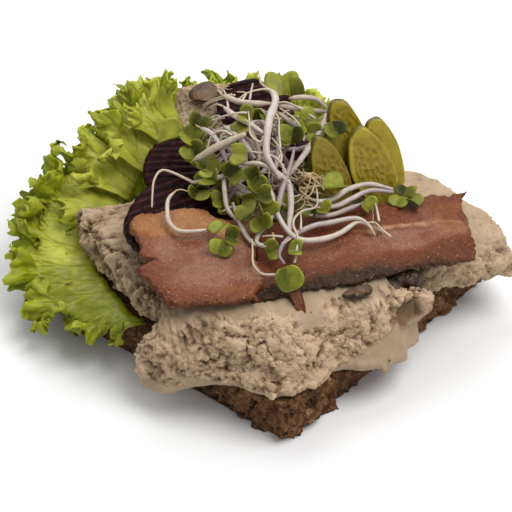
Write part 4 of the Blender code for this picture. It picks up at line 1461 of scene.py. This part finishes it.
PLACED_STEMS = [
    # path (along, back, up) in mm from the root end to the leaf end, radius in mm, lilac, root in mm
    # the loose ones on the bacon in front
    ([(-24.6, -4.2, 41.5), (-27.3, -7.6, 41.5), (-28.4, -12, 41), (-28.6, -15.6, 40), (-26.8, -18.8, 39.2),
      (-22.6, -19.8, 39), (-17, -19.8, 39)], 0.68, 0.0, 2.0),
    ([(25.6, -25.5, 34.6), (24.3, -21.4, 35.6), (21.3, -19.6, 36.6), (14.2, -20.7, 37), (9, -21.4, 37),
      (1.8, -25, 36.6), (-1.5, -29.5, 35.6), (-0.9, -33, 34.8)], 0.8, 0.9, 0),
    ([(24.3, -21.6, 35.4), (21.5, -20.9, 36), (15.9, -24.2, 35.6), (9.8, -25.9, 35.8), (3.9, -25.5, 37),
      (0.5, -20, 40), (-0.5, -13, 45)], 0.85, 0.15, 8),
    ([(9.4, -13.9, 41), (13, -14, 39.4), (17, -12.3, 38.4), (22, -8.9, 38.4), (28.2, -7.4, 38.2),
      (34.6, -8.8, 36.6)], 0.85, 0.25, 3),
    ([(11.3, -16, 39), (17.3, -14.3, 37.4), (22.1, -11.8, 37.2), (27.9, -9.6, 37.6), (34.6, -9.6, 36.2)],
     0.8, 0.6, 4),
    ([(9, -17.6, 38), (15, -17, 36.6), (21, -14.6, 36.2), (25, -13.6, 36.6)], 0.8, 0.7, 0),
    # the thick pale ones over the top
    ([(4.3, 17.5, 57), (6, 13.4, 57), (5.4, 9.6, 56.4), (2.6, 3.4, 56), (0.6, -2.8, 54), (-0.2, -6.2, 51.8),
      (0.4, -8.8, 50), (2.4, -11.8, 47)], 1.2, 0.3, 5),
    ([(-18.8, 4, 44.4), (-16, 2.6, 47), (-12.2, 1, 50.6), (-4.9, -0.8, 55)], 1.15, 0.0, 0),
    ([(-8.4, 12.8, 55.4), (-6.2, 7, 55.8), (-3, 3, 55.4), (0.2, -0.6, 54.4)], 0.85, 0.1, 4),
    ([(-7.8, 17.5, 56), (-4.4, 12, 57), (-0.4, 10.2, 57), (4.6, 10.6, 56)], 0.95, 0.25, 8),
    # the lilac ones that come down at the right and in the middle
    ([(5, -8, 44), (8.5, -5.8, 46.8), (13.9, -1.6, 50.6), (17, 2, 53), (18.6, 5, 54.4)], 0.9, 0.6, 4),
    ([(9.5, 10.6, 57), (13, 10.2, 57.2), (17, 9.6, 56.4), (19.4, 7.6, 54.6)], 0.8, 0.7, 0),
    ([(6, 9.5, 55.8), (9.4, 8.2, 55.8), (14, 7.2, 54.8), (19.2, 7.0, 53.8)], 0.85, 0.95, 0),
    ([(5.8, 7.5, 55), (9, 6, 52.4), (11.8, 4.4, 49.6)], 0.8, 0.6, 0),
    ([(-2, -23.4, 38), (-2.4, -25.8, 37.2), (-4.8, -27, 36.9), (-6.8, -25.8, 37.2), (-5.8, -23, 37.8),
      (-2.4, -19.6, 39), (0.6, -17, 41.4), (2.4, -13.8, 44.4), (4.8, -10, 46.8), (6.8, -6.2, 48.6),
      (8.3, -2.6, 50)], 0.8, 0.95, 0),
    ([(2.6, -24, 36.6), (3.2, -20.4, 38.2), (4.4, -16.5, 41.2), (4.8, -12.4, 44.4), (4, -8, 47)],
     1.0, 0.4, 6),
    # the greyer ones at the left
    ([(-15, 12, 49.8), (-12.6, 6.4, 51), (-11, 1.6, 49.2), (-10.2, -1.6, 47)], 0.8, 0.65, 5),
    ([(-9.4, 7, 53), (-7.2, 3, 53), (-5, -1.2, 51.6), (-3.1, -5.2, 49.8)], 0.9, 0.7, 0),
    ([(-6.6, -4.2, 47.6), (-2.5, -7, 49.2), (1.5, -10, 48.2), (5, -12.2, 45.4)], 0.75, 0.05, 0),
    ([(-10.8, -3.2, 44.4), (-8.4, -7.6, 43.6), (-5.8, -11.4, 42.4), (-4, -14.4, 40.4)], 1.05, 0.6, 0),
    ([(-11.2, -1.6, 45), (-12, -7.6, 42.2), (-12.2, -12.8, 39.9), (-10.4, -17.2, 38.6)], 0.75, 0.3, 0),
    ([(-7.4, -26.6, 37), (-9, -22.8, 37.6), (-9.9, -17.8, 38.8), (-10.6, -12, 41)], 0.8, 0.55, 0),
    ([(-20, -1, 41), (-16.6, -3.4, 43), (-13.2, -4.6, 44.4), (-9, -5, 46)], 0.75, 0.4, 0),
]

PLACED_ROOTS = [
    # path (along, back, up) in mm, radius in mm
    ([(-31.9, -7.8, 39.6), (-31, -3.6, 41), (-29.9, 0.6, 42), (-27.6, 4.2, 42.4), (-24.7, 3.8, 42),
      (-18.6, -0.8, 40.4)], 0.34),
    ([(-8.1, -25.7, 38.6), (-8.6, -29, 37.6), (-9.4, -34, 36.8), (-7.4, -35.4, 34.4), (-3.8, -34.8, 33)],
     0.3),
    ([(24.6, -21.2, 35.8), (26.6, -21.4, 35.6), (28, -23.6, 34.6), (29.6, -26.4, 34.2)], 0.3),
    ([(28.2, -13, 37.4), (28.4, -16, 35.8), (28, -20, 34.9)], 0.34),
    ([(8, -8.6, 45.8), (11.2, -9.3, 45.2), (12, -12.6, 43.6), (11.9, -15.4, 41.7), (11, -17.4, 40.2),
      (7.2, -18.3, 40.2), (4.6, -20.2, 39.6), (3.8, -22.4, 38.7), (4.2, -25.7, 37.7), (3.2, -29.4, 35.8),
      (2, -32.3, 34.2)], 0.32),
    ([(6.6, -18.6, 40), (6.2, -21, 39), (5.6, -23.4, 38)], 0.28),
    ([(-0.2, -16.8, 42.2), (-2.2, -17.2, 41.4), (-3, -19, 40), (-3, -21.4, 38.4)], 0.28),
    ([(0.4, -19, 40.2), (1.4, -20.8, 39.2), (2.4, -23.8, 37.8)], 0.28),
    ([(-13.6, -13.4, 39.6), (-11, -13, 40.4), (-7.6, -14.6, 40.6)], 0.24),
    ([(-5, -23.8, 37.6), (-2.6, -24.4, 37.9), (0.4, -24.8, 37.4)], 0.3),
    ([(-2.6, 6.5, 57), (-3, 3, 56.4), (-3.4, 0.6, 54.4), (-2.6, -1.2, 53.4), (-1, -2.8, 53.2),
      (0, -2, 54.4)], 0.3),
    ([(6.2, 9.4, 56.8), (8.6, 8.8, 57), (12, 6.8, 55.8), (15.6, 4.4, 53.6), (18.4, 3, 51.4)], 0.32),
    ([(6.4, 8, 56), (9.8, 5.2, 54), (11.6, 2.4, 51.6), (11.6, 0.4, 49.6)], 0.3),
    ([(4, 7.5, 57), (5.2, 3.6, 55.6), (4.4, -0.6, 54), (4, -4.4, 51.6)], 0.28),
    ([(-14.6, 3.6, 48), (-13.4, 5.4, 50.4), (-11.6, 5.6, 52.2), (-9.6, 4.4, 53), (-8, 2.2, 53)], 0.3),
    ([(-4.4, 43, 40.6), (-4.4, 36, 45.4), (-5.2, 27, 50.2), (-6.8, 15, 55.6), (-7.6, 8.5, 56)], 0.26),
    ([(-12, 10, 53), (-8.6, 8.2, 55.4), (-5, 6.4, 57), (-3.2, 5.8, 57.2)], 0.28),
    ([(-7, -1.8, 50.6), (-3, -4.4, 51.2), (1, -7, 51.4), (3, -8.9, 50.2), (4.2, -10.8, 47.6)], 0.3),
    ([(-4, 13, 57), (-1, 15, 57.4), (3, 15.6, 57.6), (5.6, 15, 57.4)], 0.28),
    ([(1.5, 20.4, 56.6), (0, 15.4, 57.6), (-1.2, 11.4, 57.6)], 0.26),
    ([(-3.4, 18, 56), (-1.6, 14.8, 57.4), (-3.8, 11, 57.2)], 0.26),
    ([(-11.5, 27, 46.6), (-9.4, 25.6, 49), (-6.6, 23.4, 51.4), (-4.6, 20, 54)], 0.28),
    ([(-10.5, 33, 41.4), (-8.6, 31, 44.6), (-5, 28.4, 47.4), (-3, 24, 51)], 0.26),
    ([(2, -2.6, 54), (3.4, -4.6, 52.4), (3.8, -7, 51), (3, -9.2, 50)], 0.26),
]

PLACED_LEAVES = [
    # middle (along, back, up) in mm, heading and facing, length in mm, fold, shade
    ((9.2, 17.4, 57.6), (0.0, 0.55, 0.75), (-0.1, -0.5, 0.75), 8.8, 0.03, -0.4, 0.4),
    ((13.4, 13.6, 55.4), (0.9, 0.2, 0.3), (0.1, 0.4, 0.9), 5.4, 1.1, 1.0),
    ((8.2, 0.2, 52.2), (0.1, 0.3, 0.9), (-0.15, -0.8, 0.5), 6.6, 0.25, 0.42),
    ((-7.4, -4.4, 51.2), (-0.9, 0.3, 0.1), (-0.1, -0.35, 0.95), 5.6, 0.15, 0.0),
    ((-9.4, -7.4, 47.6), (-0.7, -0.3, -0.1), (-0.2, -0.9, 0.3), 6.0, 0.25, 0.5),
    ((-14.6, -2.4, 46), (-0.6, 0.5, 0.3), (-0.25, -0.6, 0.75), 6.4, 0.2, 0.5),
    ((-14.2, -6.6, 43.8), (0.3, -0.9, -0.2), (-0.5, -0.5, 0.6), 5.6, 0.7, 0.4),
    ((-17.6, -2.6, 43), (-0.8, 0.1, -0.1), (-0.2, -0.6, 0.7), 5.4, 0.3, 0.65),
    ((-19.6, -6.6, 40.8), (-0.4, -0.9, -0.2), (-0.2, -0.4, 0.9), 5.6, 0.35, 0.45),
    ((-3.4, -9.2, 48), (0.2, -0.3, -0.9), (-0.9, -0.4, 0.3), 5.0, 0.8, 0.75),
    ((14.2, 4.8, 53.6), (0.8, 0.3, 0.2), (-0.1, -0.6, 0.75), 6.2, 0.25, 0.45),
    ((14.6, 1.0, 51.4), (0.9, -0.1, -0.1), (-0.1, -0.7, 0.6), 5.4, 0.2, 0.35),
    ((20.4, 1.4, 53.6), (0.3, -0.8, 0.3), (-0.1, -0.6, 0.75), 6.2, 0.3, 0.6),
    ((-3.6, 6.4, 55.4), (-0.8, 0.4, 0.1), (-0.1, -0.3, 0.9), 5.4, 0.1, 0.35),
    ((-5.2, 2.8, 54), (-0.7, -0.3, -0.1), (-0.1, -0.5, 0.8), 5.2, 0.15, 0.45),
    ((-22.8, 15.2, 46), (-0.95, 0.2, 0.1), (0.0, 0.0, 1.0), 9.8, 0.3, -0.35, 0.25),
    ((-17.8, 12.8, 46.6), (0.6, -0.6, -0.2), (0.1, -0.4, 0.9), 7.4, 0.5, -0.1, 0.4),
    ((-18.0, 8.2, 45), (0.2, -0.9, -0.3), (-0.2, -0.5, 0.8), 6.2, 0.6, 0.25),
    ((-14.6, 15, 49.4), (0.4, 0.8, 0.3), (-0.2, -0.6, 0.7), 5.6, 0.35, 0.65),
    ((-15.8, -21.6, 39.7), (0.75, 0.55, 0.1), (-0.1, -0.25, 0.95), 5.6, 0.15, 0.0),
    ((-13.4, -24.6, 39.2), (0.9, -0.4, 0.1), (-0.1, -0.6, 0.6), 5.0, 0.5, 0.5),
    ((-17, -26.8, 38.6), (-0.3, -0.9, -0.1), (-0.05, -0.4, 0.9), 5.8, 0.2, 0.2),
    ((-1.0, -38.0, 33.9), (0.1, -0.75, -0.62), (0.1, -0.75, 0.65), 8.3, 0.3, 0.2, 0.06),
    ((-4.6, -12.6, 46.4), (-0.3, 0.5, 0.7), (0.2, -0.8, 0.5), 5.6, 0.5, 0.4),
    ((-2.4, -14.8, 44.6), (0.8, -0.2, 0.1), (-0.1, -0.8, 0.5), 4.8, 0.6, 0.55),
    ((-6.4, -15.4, 43.4), (-0.7, -0.5, 0.1), (-0.3, -0.7, 0.6), 5.4, 0.5, 0.35),
    ((-3.4, -17.6, 42), (0.3, -0.7, -0.5), (0.3, -0.7, 0.6), 5.8, 0.7, 0.3),
    ((-8.6, -18.4, 40.4), (-0.8, -0.3, -0.2), (-0.2, -0.6, 0.8), 4.8, 0.3, 0.5),
    ((-4.2, -21.4, 39.8), (0.2, -0.8, -0.5), (-0.6, -0.6, 0.5), 5.8, 0.8, 0.35),
    ((-3, -28.6, 36.2), (-0.9, -0.3, 0.0), (0.0, -0.3, 0.9), 5.0, 0.2, 0.45),
    ((3, -29, 35.8), (0.9, -0.3, 0.0), (0.0, -0.3, 0.9), 5.0, 0.2, 0.4),
    ((17.6, -11.2, 41.6), (0.97, 0.1, -0.05), (0.0, 0.15, 1.0), 8.2, 0.1, 0.1, 0.3),
    ((26, -14.6, 37), (0.6, -0.8, 0.0), (0.1, -0.5, 0.8), 4.6, 0.4, 0.35),
    ((13.6, -17, 38.2), (0.7, -0.6, 0.0), (0.1, -0.5, 0.8), 4.6, 0.5, 0.35),
    ((9.6, -16.4, 39.2), (-0.5, -0.8, 0.0), (0.0, -0.5, 0.8), 4.4, 0.4, 0.5),
    ((38.2, -9.2, 36), (0.3, 0.6, 0.5), (0.0, -0.6, 0.7), 5.4, 0.3, 0.7),
    ((39.8, -12.6, 34.8), (0.8, -0.5, 0.0), (0.2, -0.5, 0.8), 5.8, 0.4, 0.3),
    ((35.4, -12.0, 35), (-0.5, -0.7, 0.0), (0.0, -0.5, 0.85), 5.2, 0.25, 0.2),
]

ROOT_CLUMP, CLUMP_TWIGS = (9.6, -10.4, 43.0), 26
ROOT_STEPS = 34
HEAP_ALONG, HEAP_BACK = (-12, 26), (-19, 30)  # mm, where the loose sprouts start
HEAP_FLOOR, HEAP_TOP = 14, 56.5  # mm


def loose_path(heap, below, layer, count, turn, stride, chance):
    """A wandering path within the heap: `layer` is its height there, from 0 at the foot to 1 on top."""
    spot = None
    while spot is None or height_over(heap, *spot) is None:
        spot = (chance.uniform(*HEAP_ALONG), chance.uniform(*HEAP_BACK))
    heading = chance.uniform(0, math.tau)
    bend, path = chance.gauss(0, turn), []
    for _ in range(chance.randint(*count)):
        top = height_over(heap, *spot)
        if top is None or spot[0] < -15 or spot[1] > 31 - 0.4 * abs(spot[0]):
            break
        floor = (height_over(below, *spot) or HEAP_FLOOR) + 1.2
        top = min(top, HEAP_TOP - 0.8 * max(0.0, spot[1] - 9))
        path.append((*spot, floor + max(0.0, top - floor) * layer + chance.gauss(0, 0.35)))
        spot = (spot[0] + stride * math.cos(heading), spot[1] + stride * math.sin(heading))
        heading += bend + chance.gauss(0, turn)
    return path


class SANDWICH_OT_sprouts(Operator):
    """Heaps up the radish sprouts: placed ones in front and on top, and loose ones that fill the heap"""

    bl_idname = "sandwich.sprouts"
    bl_label = "Sprouts"

    def execute(self, context):
        settings = context.scene.sandwich_sprouts
        chance = random.Random(29)
        stems, leaves = Pile(), Pile()
        self.place_sprouts(settings, stems, leaves, chance)
        self.fill_heap(settings, stems, leaves, chance)
        serve(stems.mesh("stems"), "sprout_stems", stem_material(settings), "sprouts", "sprouts")
        serve(leaves.mesh("leaves"), "sprout_leaves", leaf_material(settings), "sprouts", "sprouts")
        return {"FINISHED"}

    def place_sprouts(self, settings, stems, leaves, chance):
        """Makes the stems, roots and seed leaves that have a place of their own."""
        for path, thick, lilac, root in PLACED_STEMS:
            sprout_stem(stems, path, thick * (settings.stem / (PLACED_STEM * MM)), lilac, chance, root)
        share = np.linspace(0, 1, ROOT_STEPS)
        for path, thick in PLACED_ROOTS:
            line, radii = smooth_path(path, ROOT_STEPS), thick * (0.75 + 0.5 * share)
            tube(stems, line, radii, 7, root=0.6 - 0.4 * share, lilac=0)
        for middle, heading, facing, length, fold, shade, *notch in PLACED_LEAVES:
            size = length * settings.leaf / (PLACED_LEAF * MM)
            foot = middle - unit(np.array(heading)) * size * 0.5
            facing = unit(np.array(facing)) + scatter(chance, *[0.0 if notch else 0.28] * 3)
            seed_leaf(leaves, foot, heading, facing, size, 0.15 + 1.15 * fold, shade, chance, *notch)
        for _ in range(CLUMP_TWIGS):
            start, way = ROOT_CLUMP + scatter(chance, 1.6, 1.2, 1.3), unit(scatter(chance, 1, 0.6, 0.7))
            trail_root(stems, start, way, chance.uniform(4, 7), chance.uniform(0.24, 0.42), chance, 0, 0.95)

    def fill_heap(self, settings, stems, leaves, chance):
        """Lays loose sprouts and hair roots through the heap, each within the heap's outline."""
        heap = tree_over(["sprouts"])
        below = tree_over([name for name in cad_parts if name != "sprouts"])
        for number in range(settings.count):
            layer = 0.8 * (number + 0.5) / settings.count
            path = loose_path(heap, below, layer, (8, 15), 0.15, 2.6, chance)
            if len(path) < 4:
                continue
            thick = settings.stem / MM * chance.uniform(0.7, 1.15)
            lilac, root = chance.uniform(0.2, 1), chance.choice((0, 5, 9))
            sprout_stem(stems, path[::2] + path[-1:], thick, lilac, chance, root)
            end, before = np.array(path[-1]), np.array(path[-2])
            facing = unit(TOWARDS_SKY + scatter(chance, 0.5, 0.5, 0.5))
            leaf_pair(
                leaves, stems, end, end - before + [0, 0, 0.6], facing,
                settings.leaf / MM * chance.uniform(0.75, 1.05), chance.uniform(0.5, 1.3),
                chance.uniform(0.1, 0.7), chance.uniform(0.2, 0.85), chance,
            )
        for _ in range(settings.hairs):
            path = loose_path(heap, below, chance.uniform(0.75, 1.0), (5, 10), 0.5, 1.7, chance)
            if len(path) > 3:
                line = smooth_path(path, len(path) * 5)
                share = np.linspace(0, 1, len(line))
                radii = chance.uniform(0.2, 0.32) * (1.15 - 0.6 * share)
                tube(stems, line, radii, 6, root=0.2 + 0.4 * share, lilac=0)


# ---------------------------------------------------------------- stage


class StageSettings(PropertyGroup):
    floor: FloatVectorProperty(
        name="Floor", description="Colour of the floor", default=(0.86, 0.86, 0.86, 1.0), size=4,
        subtype="COLOR",
    )
    key: FloatProperty(
        name="Key light", description="Power of the main light", default=3.3, min=0.0, unit="POWER"
    )
    fill: FloatProperty(
        name="Fill light", description="Power of the fill light", default=1.9, min=0.0, unit="POWER"
    )
    sky: FloatProperty(name="Sky", description="Strength of the even light all round", default=0.5, min=0.0)


LIGHTS = {
    # name: place in metres
    "key": (0.28, 0.10, 0.62),
    "fill": (-0.32, 0.2, 0.55),
}
LIGHT_WIDTH, LIT_SPOT = 0.5, (0, 0, 0.02)
SEEN_SPOT = (0.00525, -0.00899, 0.020)
CAMERA_TURN, CAMERA_RISE, CAMERA_AWAY = math.radians(40), math.radians(38.05), 0.5878


def aim(light, place, target):
    """Moves a light to its place and turns it to its target."""
    light.location = place
    light.rotation_euler = (Vector(target) - Vector(place)).to_track_quat("-Z", "Y").to_euler()


class SANDWICH_OT_stage(Operator):
    """Sets the pale floor, the soft lights and the camera"""

    bl_idname = "sandwich.stage"
    bl_label = "Stage"

    def execute(self, context):
        scene, settings = context.scene, context.scene.sandwich_stage
        sheet = bmesh.new()
        bmesh.ops.create_grid(sheet, x_segments=1, y_segments=1, size=5)
        mesh = bpy.data.meshes.new("floor")
        sheet.to_mesh(mesh)
        sheet.free()
        nodes = Finish("pale floor", Roughness=0.9)
        off = nodes.mix(0.06, settings.floor, GREY)
        mesh.materials.append(nodes.done(nodes.group("Mottle", off, settings.floor, 0.05, 0.3)))
        floor = put_in_scene("floor", mesh)
        floor.location.z = -0.05 * MM

        for name, place in LIGHTS.items():
            data = bpy.data.lights.new(name, "AREA")
            data.shape, data.size, data.energy = "DISK", LIGHT_WIDTH, getattr(settings, name)
            aim(put_in_scene(name, data), place, LIT_SPOT)
        scene.world = bpy.data.worlds.new("even light")
        scene.world.use_nodes = True
        sky = scene.world.node_tree.nodes["Background"]
        sky.inputs["Color"].default_value = (1.0, 1.0, 1.0, 1.0)
        sky.inputs["Strength"].default_value = settings.sky
        scene.view_settings.view_transform = "Standard"

        flat = math.cos(CAMERA_RISE)
        away = Vector((math.sin(CAMERA_TURN) * flat, -math.cos(CAMERA_TURN) * flat, math.sin(CAMERA_RISE)))
        data = bpy.data.cameras.new("camera")
        data.lens, data.sensor_width = 150, 36
        data.clip_start, data.clip_end = 0.01, 10
        scene.camera = put_in_scene("camera", data)
        scene.camera.location = Vector(SEEN_SPOT) + away * CAMERA_AWAY
        scene.camera.rotation_euler = (-away).to_track_quat("-Z", "Y").to_euler()
        return {"FINISHED"}


# ---------------------------------------------------------------- add-on


class SANDWICH_PT_panel(Panel):
    """Lists what makes up the sandwich"""

    bl_label = "Open Sandwich"
    bl_idname = "SANDWICH_PT_panel"
    bl_space_type = "VIEW_3D"
    bl_region_type = "UI"
    bl_category = "Sandwich"

    def draw(self, context):
        for operator, settings in STEPS.items():
            box = self.layout.box()
            box.operator(operator.bl_idname)
            for field in settings.__annotations__:
                box.prop(getattr(context.scene, holder(operator)), field)


STEPS = {
    SANDWICH_OT_rye: RyeSettings,
    SANDWICH_OT_pate: PateSettings,
    SANDWICH_OT_bacon: BaconSettings,
    SANDWICH_OT_beetroot: BeetrootSettings,
    SANDWICH_OT_gherkins: GherkinSettings,
    SANDWICH_OT_mushrooms: MushroomSettings,
    SANDWICH_OT_lettuce: LettuceSettings,
    SANDWICH_OT_sprouts: SproutSettings,
    SANDWICH_OT_stage: StageSettings,
}

CLASSES = (*STEPS.values(), *STEPS, SANDWICH_PT_panel)


def holder(operator):
    """The name under which the scene keeps an operator's settings."""
    return operator.bl_idname.replace(".", "_")


def register():
    for made in CLASSES:
        bpy.utils.register_class(made)
    for operator, settings in STEPS.items():
        setattr(bpy.types.Scene, holder(operator), PointerProperty(type=settings))


def unregister():
    for operator in STEPS:
        delattr(bpy.types.Scene, holder(operator))
    for made in reversed(CLASSES):
        bpy.utils.unregister_class(made)


def main():
    register()
    for operator in STEPS:
        getattr(bpy.ops.sandwich, operator.bl_idname.split(".")[1])()
    bpy.context.view_layer.update()


if __name__ == "__main__":
    main()
